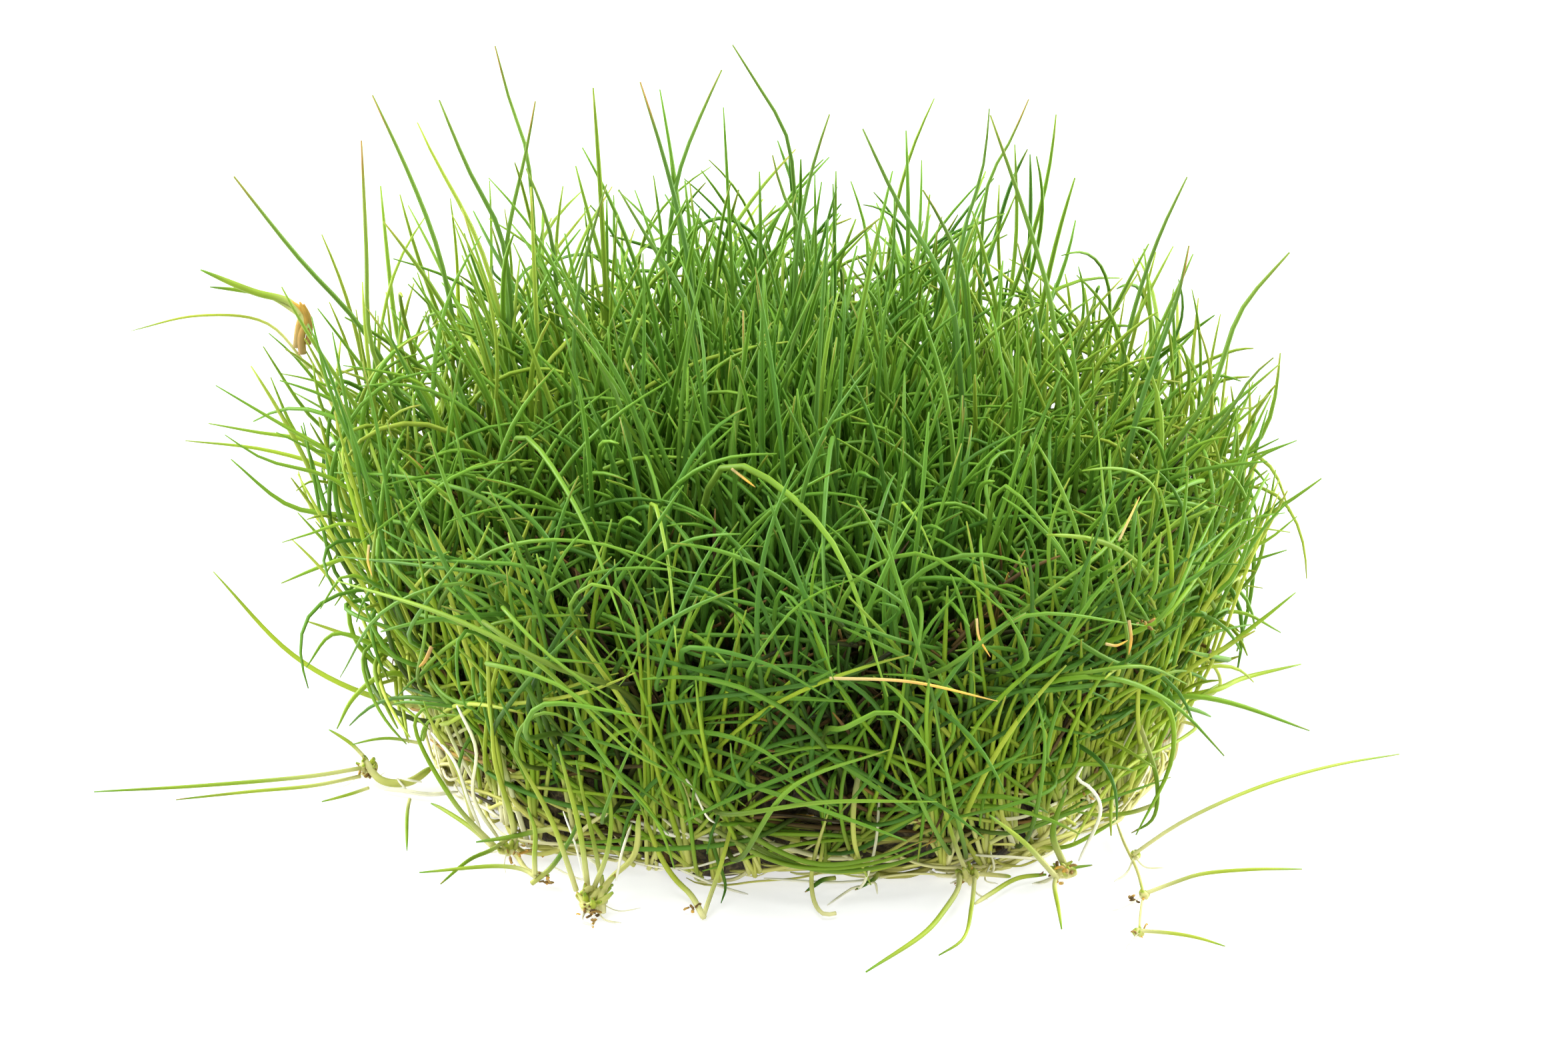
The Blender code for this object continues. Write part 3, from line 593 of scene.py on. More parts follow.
# The roots that they are given in the mat, in mm as their places are
ROOT_REACH = 0.55  # how far on down the line of the first two places, against the distance of those
ROOT_RADIUS = 33.0
ROOT_HEIGHT = 7.0
ROOT_LOWNESS = 0.8  # how high the root is at most, against the first place
KNEE_FROM = 15  # a leaf whose first place is higher bends over, and has a knee
KNEE = (0.40, 0.40, 0.68)  # how far up from the root it is

# The leaves that curl through the turf's wall
TANGLE_LEAVES = 700
TANGLE_HEIGHTS = (5 * MM, 25 * MM)
TANGLE_DEPTHS = (1.0 * MM, 7 * MM)  # how far inside the wall they start
TANGLE_LENGTHS = (13 * MM, 27 * MM)
TANGLE_SPREAD = 0.45
TANGLE_RISE = 0.45
TANGLE_OUTWARDS = (0.1, 0.8)
TANGLE_SIDEWAYS = (-1.3, 1.3)
TANGLE_CURL = (math.radians(120), math.radians(50))
TANGLE_DROOP = 0.35
TANGLE_THICKNESS = 0.89
TANGLE_GAP_HEIGHT = 9 * MM  # above this the front's gaps thin them

# Where the front's leaves stand thin and the dead ones show: bearing and half width in degrees, and the
# share of the leaves that is missing
GAPS = ((-100, 13, 0.80), (-139, 11, 0.75), (-121, 7, 0.45), (-58, 8, 0.44), (-79, 8, 0.36))
GAP_DEPTH = 13 * MM  # how far in from the turf's edge they go
GAP_CUT = 0.30  # how much shorter the leaves of the mat's side are there, as a share of the missing share

# The dead leaves between the living ones
THATCH_STRANDS = 1300
THATCH_RADII = (0.62, 0.99)  # of the turf's
THATCH_HEIGHTS = (1 * MM, 21 * MM)
THATCH_DEPTH = 0.8 * MM  # how far inside the mat's edge they start
THATCH_FLATNESS = 0.5
THATCH_LENGTHS = (5 * MM, 15 * MM)
THATCH_CURL = 1.6
THATCH_SLACK = (-2.5 * MM, 1 * MM)
THATCH_THICKNESSES = (0.5, 1.0)
THATCH_TONES = (1.2, 3.6)  # the two shapes of their beta spread: most are dark
PALEST_THATCH = 0.8

# The strands round the mat's side
RIM_STRANDS = 360
RIM_TURNS = (math.radians(5), math.radians(25))
RIM_STRAND_LOW = 0.4 * MM
RIM_STRAND_BAND = 5.5 * MM
RIM_STRAND_LOWNESS = 2.2  # the larger, the more of them lie low
RIM_STRAND_FLOOR = 0.35 * MM
RIM_CLIMB = 3.4 * MM
RIM_RIPPLE = 0.35 * MM  # how far a strand sways up and down
RIM_SWAY = 0.25 * MM  # how far it sways in and out
RIM_STANDING_OUT = (-0.9 * MM, 0.6 * MM)
RIM_END_DEPTH = 0.8 * MM
RIM_STRAND_TONES = (1.9, 1.2)  # the two shapes of their beta spread: most are pale
PALEST_RIM_STRAND = 0.99
RIM_STRAND_THICKNESSES = (0.40, 1.15)
RIM_THINNING = (1.15, 0.5)  # what that is multiplied by for the darkest, and how much less for the palest

# The roots pressed flat on its underside
PRESSED_ROOTS = 220
PRESSED_TURNS = (math.radians(25), math.radians(130))
PRESSED_SHARES = (0.02, 0.9)  # of the mat's area, from its middle out, where they start and end
PRESSED_SWAY = 0.7 * MM
PRESSED_HEIGHT = 0.28 * MM
PRESSED_THICKNESSES = (0.6, 0.95)
PRESSED_TONES = (0.35, 0.99)

# The loose white roots, in mm as their places are
ROOT_KINK = 0.6
ROOT_LOWEST = 0.3
ROOT_THICKNESS = 0.58
ROOT_TONES = (0.3, 0.99)
CROWN_ROOTS = 2
CROWN_ROOT_REACH = (1.8, 4.2)
CROWN_ROOT_BEND = 1.2
CROWN_ROOT_HEIGHT = 0.25
CROWN_ROOT_THICKNESSES = (0.20, 0.38)

# The sheaths round a plantlet's crown, against the crown's half size
CROWN_SHEATHS = 10  # for each millimetre of it
SHEATH_FEET = (0.6, 0.6, 0.18)
SHEATH_ENDS = (1.1, 1.1, 0.55)
SHEATH_SINK = 0.6
SHEATH_RISE = 0.7
SHEATH_BEND = 0.4
SHEATH_LOWEST = 0.5  # in mm
SHEATH_THICKNESSES = (0.8, 1.6)
SHEATH_TONES = (0.72, 0.99)

# The scraps, in mm
SCRAP_SIZES = (0.45, 0.45, 0.25)
SCRAP_BEND = 0.2
SCRAP_LOWEST = 0.35
SCRAP_THICKNESSES = (0.25, 0.65)
SCRAP_TONES = (1.5, 1.6)  # the two shapes of their beta spread
DARKEST_SCRAP = 0.15
SCRAP_TONE_SPAN = 0.8


def clear_scene():
    """Remove what the startup scene holds."""
    for item in list(bpy.data.objects):
        bpy.data.objects.remove(item)


# Making tubes


def tube_template(sides, spans):
    """A closed tube of radius 1 and height 1 with a ring of points at each of its spans, as arrays."""
    bm = bmesh.new()
    bmesh.ops.create_cone(bm, cap_ends=True, segments=sides, radius1=1.0, radius2=1.0, depth=1.0)
    bmesh.ops.translate(bm, vec=(0.0, 0.0, 0.5), verts=bm.verts)
    upright = [edge for edge in bm.edges if abs(edge.verts[0].co.z - edge.verts[1].co.z) > 0.5]
    bmesh.ops.subdivide_edges(bm, edges=upright, cuts=spans - 1)
    bmesh.ops.recalc_face_normals(bm, faces=bm.faces)
    places = np.array([vert.co for vert in bm.verts])
    rings = np.rint(places[:, 2] * spans).astype(int)
    corners = []
    starts = []
    across = []
    along = []
    for face in bm.faces:
        starts.append(len(corners))
        turns = [math.atan2(vert.co.y, vert.co.x) / math.tau % 1.0 for vert in face.verts]
        if len(face.verts) == 4 and max(turns) - min(turns) > 0.5:
            turns = [turn + 1.0 if turn < 0.5 else turn for turn in turns]
        for vert, turn in zip(face.verts, turns):
            corners.append(vert.index)
            height = MAP_START + MAP_LENGTH * vert.co.z
            if abs(face.normal.z) > 0.9:
                across.append(0.5 + 0.5 * vert.co.x)
                along.append(height + MAP_CAP * vert.co.y)
            else:
                across.append(turn)
                along.append(height)
    bm.free()
    return {
        "flat": places[:, :2],
        "rings": rings,
        "corners": np.array(corners),
        "starts": np.array(starts),
        "across": np.array(across),
        "along": np.array(along),
        "spans": spans,
    }


def unit(vectors):
    """The vectors at length 1."""
    return vectors / np.maximum(np.linalg.norm(vectors, axis=-1, keepdims=True), 1e-12)


def sweep(name, template, lines, radii, tones, material):
    """One mesh of tubes. lines holds each tube's own line, as (tubes, rings, 3), and radii its radius
    at each of those rings. A tone is where a tube lies across its map."""
    count, rings, _ = lines.shape
    ahead = unit(np.gradient(lines, axis=1))
    side = unit(np.cross(ahead[:, 0], np.array(ASLANT)))
    corners = np.empty((count, len(template["rings"]), 3))
    for ring in range(rings):
        side = unit(side - (side * ahead[:, ring]).sum(-1, keepdims=True) * ahead[:, ring])
        other = np.cross(ahead[:, ring], side)
        chosen = template["rings"] == ring
        flat = template["flat"][chosen]
        reach = radii[:, ring, None, None]
        corners[:, chosen] = lines[:, ring, None] + reach * (
            flat[None, :, :1] * side[:, None] + flat[None, :, 1:] * other[:, None]
        )
    per_tube = len(template["rings"])
    loops = len(template["corners"])
    first_point = np.arange(count)[:, None] * per_tube
    first_loop = np.arange(count)[:, None] * loops
    mesh = bpy.data.meshes.new(name)
    mesh.vertices.add(count * per_tube)
    mesh.vertices.foreach_set("co", corners.astype(np.float32).ravel())
    mesh.loops.add(count * loops)
    mesh.loops.foreach_set("vertex_index", (template["corners"] + first_point).astype(np.int32).ravel())
    mesh.polygons.add(count * len(template["starts"]))
    mesh.polygons.foreach_set("loop_start", (template["starts"] + first_loop).astype(np.int32).ravel())
    mesh.update(calc_edges=True)
    mesh.validate()
    across = np.asarray(tones)[:, None] * (1 - TONE_WIDTH) + template["across"] * TONE_WIDTH * TONE_FILL
    along = np.broadcast_to(template["along"], across.shape)
    places = np.stack([across, along], axis=-1).astype(np.float32).ravel()
    for layer in ("leaf_map", "OFBake"):
        mesh.uv_layers.new(name=layer).data.foreach_set("uv", places)
    mesh.shade_smooth()
    mesh.materials.append(material)
    piece = bpy.data.objects.new(name, mesh)
    bpy.context.scene.collection.objects.link(piece)
    return piece


def leaf_radii(thickness, spans, tip_share=0.28, lateness=9):
    """The radius at each ring of leaves of these thicknesses: even for most of the way, then a tip. The
    lateness is how late the tip begins."""
    way = np.linspace(0, 1, spans + 1)
    share = 1 - BODY_TAPER * way - (1 - BODY_TAPER - tip_share) * way**lateness
    return np.asarray(thickness)[:, None] * share[None, :]


def even_radii(thickness, spans, end_share=0.45):
    """The radius at each ring of roots and runners, which taper a little at both ends."""
    way = np.linspace(-1, 1, spans + 1)
    share = 1 - (1 - end_share) * way**8
    return np.asarray(thickness)[:, None] * share[None, :]


def smooth_line(places, spans):
    """A smooth line through these places in mm, with spans + 1 points at even distances."""
    points = np.array(places) * MM
    steps = np.sqrt(np.linalg.norm(np.diff(points, axis=0), axis=1))
    knots = np.concatenate([[0.0], np.cumsum(steps)])
    slopes = np.gradient(points, knots, axis=0)
    fine = np.linspace(0, knots[-1], FINENESS * spans + 1)
    index = np.clip(np.searchsorted(knots, fine, side="right") - 1, 0, len(points) - 2)
    width = (knots[index + 1] - knots[index])[:, None]
    way = (fine - knots[index])[:, None] / width
    line = (
        points[index] * (1 + 2 * way) * (1 - way) ** 2
        + slopes[index] * width * way * (1 - way) ** 2
        + points[index + 1] * way**2 * (3 - 2 * way)
        + slopes[index + 1] * width * way**2 * (way - 1)
    )
    for _ in range(SMOOTHINGS):
        line[1:-1] = (line[:-2] + 2 * line[1:-1] + line[2:]) / 4
    gone = np.concatenate([[0.0], np.cumsum(np.linalg.norm(np.diff(line, axis=0), axis=1))])
    evenly = np.linspace(0, gone[-1], spans + 1)
    return np.stack([np.interp(evenly, gone, line[:, axis]) for axis in range(3)], axis=-1)


# How leaves grow


def cup_wall(place):
    """How far each place is from the cup's axis, its way out to the wall, and the wall's radius there."""
    rise = np.clip(place[:, 2] / CUP_RISE, 0.0, 1.0)
    flat = place[:, :2] - np.array(MIDDLE) - np.stack([CUP_LEAN * rise, 0 * rise], axis=-1)
    radius = np.linalg.norm(flat, axis=1)
    wall = CUP_FOOT + (CUP_MOUTH - CUP_FOOT) * np.sin(rise * math.pi / 2)
    wall += CUP_FLARE * np.maximum(place[:, 2] - CUP_RISE, 0)
    return radius, flat / radius[:, None], wall


def grow(rng, values, spans):
    """The lines of leaves, grown step by step. A leaf bends about its own axis, droops as it grows,
    turns along the cup's wall where it meets it, and stays above the table."""
    place = values["root"].copy()
    ahead = unit(values["aim"])
    steps = spans * GROWTH_STEPS
    step = (values["length"] / steps)[:, None]
    axis = unit(np.cross(ahead, rng.normal(size=ahead.shape)))
    lateness = rng.uniform(*BEND_LATENESS, len(place))
    lines = [place]
    for index in range(steps):
        way = (index + 0.5) / steps
        share = (lateness + 1) * way**lateness / steps
        ahead = ahead + np.cross(axis, ahead) * (values["curl"] * share)[:, None]
        ahead += rng.normal(0, CROOK, ahead.shape)
        ahead[:, 2] -= values["droop"] * share
        radius, out, wall = cup_wall(place)
        over = np.clip((radius - wall - values["slack"]) / WALL_SOFTNESS, 0, 1)
        push = np.maximum((ahead[:, :2] * out).sum(-1), 0) * over
        ahead[:, :2] -= out * push[:, None]
        lowness = np.clip(1 - (place[:, 2] - LOWEST_PLACE) / LEVELLING, 0, 1)
        ahead[:, 2] -= np.minimum(ahead[:, 2], 0) * lowness
        ahead = unit(ahead)
        place = place + ahead * step
        lines.append(place)
    lines = np.stack(lines[::GROWTH_STEPS], axis=1)
    radius, out, _ = cup_wall(place)
    low, high = SPRING_RADII
    share = np.clip((radius - low) / (high - low), 0, 1)
    reach = (values["spring"] * share)[:, None] * np.linspace(0, 1, spans + 1) ** SPRING_LATENESS
    lines[..., :2] += reach[..., None] * out[:, None]
    lines[..., 2] = np.maximum(lines[..., 2] - SPRING_SAG * reach, LOWEST_PLACE)
    for _ in range(GROWN_SMOOTHINGS):
        lines[:, 1:-1] = (lines[:, :-2] + 2 * lines[:, 1:-1] + lines[:, 2:]) / 4
    return lines


def from_middle(places):
    """The way out from the turf's middle to each place, and its distance."""
    flat = places[:, :2] - np.array(MIDDLE)
    radius = np.maximum(np.linalg.norm(flat, axis=1), 1e-9)
    return flat / radius[:, None], radius


def mat_edge(bearings):
    """The radius of the mat's edge at these bearings."""
    radius = np.full(np.shape(bearings), MAT_RADIUS)
    for middle, half, reach in MAT_BULGES:
        turn = np.angle(np.exp(1j * (bearings - math.radians(middle))))
        radius = radius + reach * np.exp(-((turn / math.radians(half)) ** 2))
    return radius


def on_circle(bearings, radius, heights):
    """Places at these bearings and heights on a circle round the turf's middle."""
    x = MIDDLE[0] + radius * np.cos(bearings)
    y = MIDDLE[1] + radius * np.sin(bearings)
    return np.stack([x, y, heights], axis=-1)


def crown_places(rng):
    """Places of the crowns on the mat's top, spread like a sunflower's seeds and then shifted."""
    count = int(math.pi * TURF_RADIUS**2 / CROWN_AREA)
    index = np.arange(count) + 0.5
    bearings = index * math.pi * (3 - math.sqrt(5))
    heights = np.full(count, CROWN_HEIGHT)
    places = on_circle(bearings, TURF_RADIUS * np.sqrt(index / count), heights)
    places[:, :2] += rng.uniform(-CROWN_SHIFT, CROWN_SHIFT, (count, 2))
    return places


def rim_places(rng):
    """Places of the crowns on the mat's side."""
    places = np.arange(RIM_CROWNS) + rng.uniform(-RIM_SHIFT, RIM_SHIFT, RIM_CROWNS)
    bearings = places * math.tau / RIM_CROWNS
    return on_circle(bearings, mat_edge(bearings) - RIM_DEPTH, rng.uniform(*RIM_HEIGHTS, RIM_CROWNS))


def fan_places(rng):
    """Places of the bunches that grow up from the mat's lower edge."""
    behind = np.radians(np.linspace(0, 180, BACK_FANS, endpoint=False))
    behind += rng.uniform(0, BACK_FAN_SHIFT, BACK_FANS)
    bearings = np.concatenate([np.radians(FAN_BEARINGS), behind])
    return on_circle(bearings, mat_edge(bearings) - FAN_DEPTH, rng.uniform(*FAN_HEIGHTS, len(bearings)))


def crown_leaves(rng, places, habit):
    """The values of all leaves of these crowns. habit holds how they lean, bend and measure."""
    counts = rng.integers(*habit["leaves"], len(places))
    owner = np.repeat(np.arange(len(places)), counts)
    total = len(owner)
    out, radius = from_middle(places)
    reach = radius / TURF_RADIUS
    beside = np.stack([-out[:, 1], out[:, 0]], axis=-1)
    lean = habit["lean"][0] + (habit["lean"][1] - habit["lean"][0]) * reach**2
    lean = lean + rng.normal(0, habit["crown_spread"], len(places))
    sideways = rng.normal(0, habit["crown_spread"] * habit["sideways"], len(places))
    tilt = (out * np.tan(lean)[:, None] + beside * np.tan(sideways)[:, None])[owner]
    heading = rng.uniform(0, math.tau, total)
    own = np.tan(np.abs(rng.normal(0, habit["leaf_spread"], total)))
    tilt = tilt + np.stack([np.cos(heading), np.sin(heading)], axis=-1) * own[:, None]
    length = np.clip(rng.normal(*habit["length"], total), *habit["length_limits"])
    is_tall = rng.random(total) < habit["tall_share"]
    length = np.where(is_tall, rng.uniform(*habit["tall"], total), length)
    length *= 1 + ((out * reach[:, None]) @ LENGTH_TILT)[owner]
    calm = np.where(is_tall, CALMNESS, 1.0)
    slack = rng.normal(0, CUP_SLACK, total)
    return {
        "root": places[owner] + rng.normal(0, ROOT_SCATTER, (total, 3)),
        "aim": np.concatenate([tilt * calm[:, None], np.ones((total, 1))], axis=1),
        "length": length,
        "curl": np.abs(rng.normal(*habit["curl"], total)) * calm,
        "droop": np.abs(rng.normal(0, habit["droop"], total)) * calm,
        "slack": slack,
        "spring": np.minimum(rng.exponential(SPRING, total), SPRING_LIMIT),
        "thickness": rng.uniform(*THICKNESSES, total) * habit["thickness"],
    }


def missing_share(places):
    """Which share of the leaves that start at these places is missing, for the front's gaps."""
    bearings = np.degrees(np.arctan2(places[:, 1] - MIDDLE[1], places[:, 0] - MIDDLE[0]))
    missing = np.zeros(len(places))
    for middle, half, share in GAPS:
        missing = np.where(np.abs(bearings - middle) < half, share, missing)
    return np.where(from_middle(places)[1] < TURF_RADIUS - GAP_DEPTH, 0.0, missing)


def chosen(values, mask):
    """The same values for fewer leaves."""
    return {name: value[mask] for name, value in values.items()}


def tones_at(rng, places, middle):
    """A tone for each leaf, about this middle one and paler at the turf's flanks: painted light there, over
    their paler stems.
    """
    side = (places[:, 0] - MIDDLE[0]) / TURF_RADIUS
    tones = rng.normal(middle, TONE_SPREAD, len(side)) + PALE_FLANKS[0] * side + PALE_FLANKS[1] * side**2
    return np.clip(tones, 0.0, HIGHEST_TONE)


def stand(name, rng, values, tones, material, template):
    """Make these leaves one piece."""
    lines = grow(rng, values, template["spans"])
    tips = lines[:, -1]
    stays = (tips[:, 2] > LYING_HEIGHT) | (from_middle(tips)[1] < LYING_RADIUS)
    radii = leaf_radii(values["thickness"][stays] * LEAF_RADIUS, template["spans"])
    return sweep(name, template, lines[stays], radii, tones[stays], material)


# Leaves at listed places


def rooted(places):
    """The places with a root in the mat set before them, and a knee between for a leaf that bends over."""
    first = np.array(places[0], dtype=float)
    second = np.array(places[1], dtype=float)
    root = first + (first - second) * ROOT_REACH
    root *= min(1.0, ROOT_RADIUS / np.linalg.norm(root[:2]))
    root[2] = min(first[2] * ROOT_LOWNESS, ROOT_HEIGHT)
    if first[2] < KNEE_FROM:
        return (root, *places)
    knee = root + (first - root) * KNEE
    return (root, knee, *places)


def routed(name, rows, template, material, has_root=True, lateness=5, tip_share=0.20):
    """One piece of leaves along listed places. A row ends with the leaf's tone and thickness."""
    spans = template["spans"]
    lines = []
    for row in rows:
        places = row[:-2]
        lines.append(smooth_line(rooted(places) if has_root else places, spans))
    thickness = [row[-1] * LEAF_RADIUS for row in rows]
    tones = [row[-2] for row in rows]
    radii = leaf_radii(thickness, spans, tip_share, lateness)
    return sweep(name, template, np.stack(lines), radii, tones, material)


def sheath_line(rng, middle, half, spans):
    """The line of one of the short sheaths that wrap a crown of this middle and half size."""
    start = middle + rng.uniform(-1, 1, 3) * SHEATH_FEET * half - (0, 0, SHEATH_SINK * half[2])
    end = middle + rng.uniform(-1, 1, 3) * SHEATH_ENDS * half + (0, 0, SHEATH_RISE * half[2])
    bend = rng.uniform(-SHEATH_BEND, SHEATH_BEND, 3) * half
    places = np.array([start, (start + end) / 2 + bend, end])
    places[:, 2] = np.maximum(places[:, 2], SHEATH_LOWEST)
    return smooth_line(places, spans)


def plantlet(name, form, rng, template, material):
    """A daughter plantlet: its leaves, the sheaths round its crown and its runners."""
    middle = np.array(form["crown"][0])
    half = np.array(form["crown"][1])
    spans = template["spans"]
    rows = form["leaves"] + form["runners"]
    lines = [smooth_line(row[:-2], spans) for row in rows]
    thickness = [row[-1] * LEAF_RADIUS for row in rows]
    leaves = len(form["leaves"])
    radii = [*leaf_radii(thickness[:leaves], spans, tip_share=0.3, lateness=4)]
    radii += [*even_radii(thickness[leaves:], spans)]
    tones = [row[-2] for row in rows]
    for _ in range(round(CROWN_SHEATHS * half[0])):
        lines.append(sheath_line(rng, middle, half, spans))
        wide = rng.uniform(*SHEATH_THICKNESSES) * LEAF_RADIUS
        radii.append(leaf_radii([wide], spans, tip_share=0.3, lateness=3)[0])
        tones.append(rng.uniform(*SHEATH_TONES))
    return sweep(name, template, np.stack(lines), np.stack(radii), tones, material)


# The mat


def mat_core(material):
    """The pressed disc itself, turned from its profile and made lumpy."""
    bm = bmesh.new()
    profile = [(CORE_RADIUS * share, CORE_LOW) for share in FLOOR_SHARES]
    for step in range(CORE_STEPS + 1):
        dent = CORE_BULGE * (1 - math.sin(math.pi * step / CORE_STEPS))
        profile.append((CORE_RADIUS - dent, CORE_LOW + (CORE_HIGH - CORE_LOW) * step / CORE_STEPS))
    for share in TOP_SHARES:
        profile.append((CORE_RADIUS * share, CORE_HIGH + THATCH_RISE * (1 - share**2)))
    points = [bm.verts.new((radius, 0.0, height)) for radius, height in profile]
    edges = [bm.edges.new(pair) for pair in zip(points, points[1:])]
    bmesh.ops.spin(
        bm,
        geom=points + edges,
        cent=(0.0, 0.0, 0.0),
        axis=(0.0, 0.0, 1.0),
        angle=math.tau,
        steps=MAT_SEGMENTS,
        use_merge=True,
    )
    bmesh.ops.remove_doubles(bm, verts=bm.verts, dist=0.01 * MM)
    bmesh.ops.recalc_face_normals(bm, faces=bm.faces)
    bm.normal_update()
    for vert in bm.verts:
        stretch = mat_edge(math.atan2(vert.co.y, vert.co.x)) / MAT_RADIUS
        vert.co.x *= stretch
        vert.co.y *= stretch
        if vert.co.z > 1.5 * CORE_LOW:
            lumps = noise.fractal(vert.co * LUMP_SCALE, *LUMP_DETAIL)
            vert.co += vert.normal * lumps * MAT_LUMP
    bmesh.ops.translate(bm, vec=(*MIDDLE, 0.0), verts=bm.verts)
    mesh = bpy.data.meshes.new("mat_core")
    bm.to_mesh(mesh)
    bm.free()
    mesh.shade_smooth()
    mesh.materials.append(material)
    piece = bpy.data.objects.new("mat_core", mesh)
    bpy.context.scene.collection.objects.link(piece)
    return piece


def bearings_along(rng, count, turns, way):
    """The bearings of strands all along them: each starts anywhere, and goes either way round."""
    start = rng.uniform(0, math.tau, (count, 1))
    turn = rng.uniform(*turns, (count, 1))
    turn *= rng.choice([-1, 1], (count, 1))
    return start + turn * way


def rim_strands(rng, template, material):
    """Runners, stems and roots pressed round the mat's side. The pale ones are thinner."""
    spans = template["spans"]
    size = (RIM_STRANDS, 1)
    way = np.linspace(0, 1, spans + 1)[None, :]
    bearings = bearings_along(rng, RIM_STRANDS, RIM_TURNS, way)
    low = RIM_STRAND_LOW + RIM_STRAND_BAND * rng.uniform(0, 1, size) ** RIM_STRAND_LOWNESS
    climb = rng.normal(0, RIM_CLIMB, size)
    sway = rng.uniform(0, math.tau, size)
    heights = low + climb * (way - 0.5) + RIM_RIPPLE * np.sin(sway + 7 * way)
    heights = np.clip(heights, RIM_STRAND_FLOOR, MAT_HEIGHT)
    radius = mat_edge(bearings) + rng.uniform(*RIM_STANDING_OUT, size)
    radius = radius + RIM_SWAY * np.sin(2 * sway + 5 * way) - RIM_END_DEPTH * (2 * way - 1) ** 6
    lines = on_circle(bearings, radius, heights)
    tones = rng.beta(*RIM_STRAND_TONES, RIM_STRANDS) * PALEST_RIM_STRAND
    thinning = RIM_THINNING[0] - RIM_THINNING[1] * tones
    thickness = rng.uniform(*RIM_STRAND_THICKNESSES, RIM_STRANDS) * thinning * LEAF_RADIUS
    return sweep("rim_strands", template, lines, even_radii(thickness, spans), tones, material)


def pressed_roots(rng, template, material):
    """Roots that lie flat on the mat's underside, where the cup's floor turned them."""
    spans = template["spans"]
    size = (PRESSED_ROOTS, 1)
    way = np.linspace(0, 1, spans + 1)[None, :]
    bearings = bearings_along(rng, PRESSED_ROOTS, PRESSED_TURNS, way)
    first = MAT_RADIUS * np.sqrt(rng.uniform(*PRESSED_SHARES, size))
    last = MAT_RADIUS * np.sqrt(rng.uniform(*PRESSED_SHARES, size))
    sway = rng.uniform(0, math.tau, size)
    radius = first + (last - first) * way + PRESSED_SWAY * np.sin(sway + 9 * way)
    lines = on_circle(bearings, radius, np.full_like(radius, PRESSED_HEIGHT))
    thickness = rng.uniform(*PRESSED_THICKNESSES, PRESSED_ROOTS) * LEAF_RADIUS
    tones = rng.uniform(*PRESSED_TONES, PRESSED_ROOTS)
    return sweep("pressed_roots", template, lines, even_radii(thickness, spans), tones, material)


def white_roots(rng, template, material):
    """Loose roots round the foot of the turf: listed ones, and fine ones from each crown."""
    spans = template["spans"]
    lines = []
    for row in WHITE_ROOTS:
        places = np.array(row[:-1], dtype=float)
        places[1:-1] += rng.normal(0, ROOT_KINK, places[1:-1].shape)
        places[:, 2] = np.maximum(places[:, 2], ROOT_LOWEST)
        lines.append(smooth_line(places, spans))
    thickness = [row[-1] * ROOT_THICKNESS * LEAF_RADIUS for row in WHITE_ROOTS]
    for form in PLANTLETS.values():
        middle = np.array(form["crown"][0])
        for _ in range(CROWN_ROOTS):
            bearing = rng.uniform(0, math.tau)
            out = np.array([math.cos(bearing), math.sin(bearing), 0.0])
            bend = np.array([-out[1], out[0], 0.0]) * rng.uniform(-CROWN_ROOT_BEND, CROWN_ROOT_BEND)
            reach = rng.uniform(*CROWN_ROOT_REACH)
            foot = np.array([middle[0], middle[1], CROWN_ROOT_HEIGHT])
            places = (middle, foot + out * reach * 0.5, foot + out * reach + bend)
            lines.append(smooth_line(places, spans))
            thickness.append(rng.uniform(*CROWN_ROOT_THICKNESSES) * LEAF_RADIUS)
    tones = rng.uniform(*ROOT_TONES, len(lines))
    return sweep("white_roots", template, np.stack(lines), even_radii(thickness, spans), tones, material)


def tangle(rng, template, material):
    """Leaves of the small plants that root between the others, which curl through the turf's wall."""
    bearings = rng.uniform(0, math.tau, TANGLE_LEAVES)
    heights = rng.uniform(*TANGLE_HEIGHTS, TANGLE_LEAVES)
    rise = np.minimum(heights / CUP_RISE, 1.0)
    wall = CUP_FOOT + (CUP_MOUTH - CUP_FOOT) * rise
    root = on_circle(bearings, wall - rng.uniform(*TANGLE_DEPTHS, TANGLE_LEAVES), heights)
    out, _ = from_middle(root)
    beside = np.stack([-out[:, 1], out[:, 0]], axis=-1)
    aim = rng.normal(0, TANGLE_SPREAD, (TANGLE_LEAVES, 3)) + (0, 0, TANGLE_RISE)
    aim[:, :2] += out * rng.uniform(*TANGLE_OUTWARDS, (TANGLE_LEAVES, 1))
    aim[:, :2] += beside * rng.uniform(*TANGLE_SIDEWAYS, (TANGLE_LEAVES, 1))
    values = {
        "root": root,
        "aim": aim,
        "length": rng.uniform(*TANGLE_LENGTHS, TANGLE_LEAVES),
        "curl": np.abs(rng.normal(*TANGLE_CURL, TANGLE_LEAVES)),
        "droop": np.abs(rng.normal(0, TANGLE_DROOP, TANGLE_LEAVES)),
        "slack": rng.normal(0, CUP_SLACK, TANGLE_LEAVES),
        "spring": np.minimum(rng.exponential(0.5 * SPRING, TANGLE_LEAVES), 2 * SPRING),
        "thickness": rng.uniform(*THICKNESSES, TANGLE_LEAVES) * TANGLE_THICKNESS,
    }
    stays = rng.random(TANGLE_LEAVES) > missing_share(root) * (heights > TANGLE_GAP_HEIGHT)
    tones = tones_at(rng, root, ZONE_TONES["leaves_tangle"])[stays]
    return stand("leaves_tangle", rng, chosen(values, stays), tones, material, template)


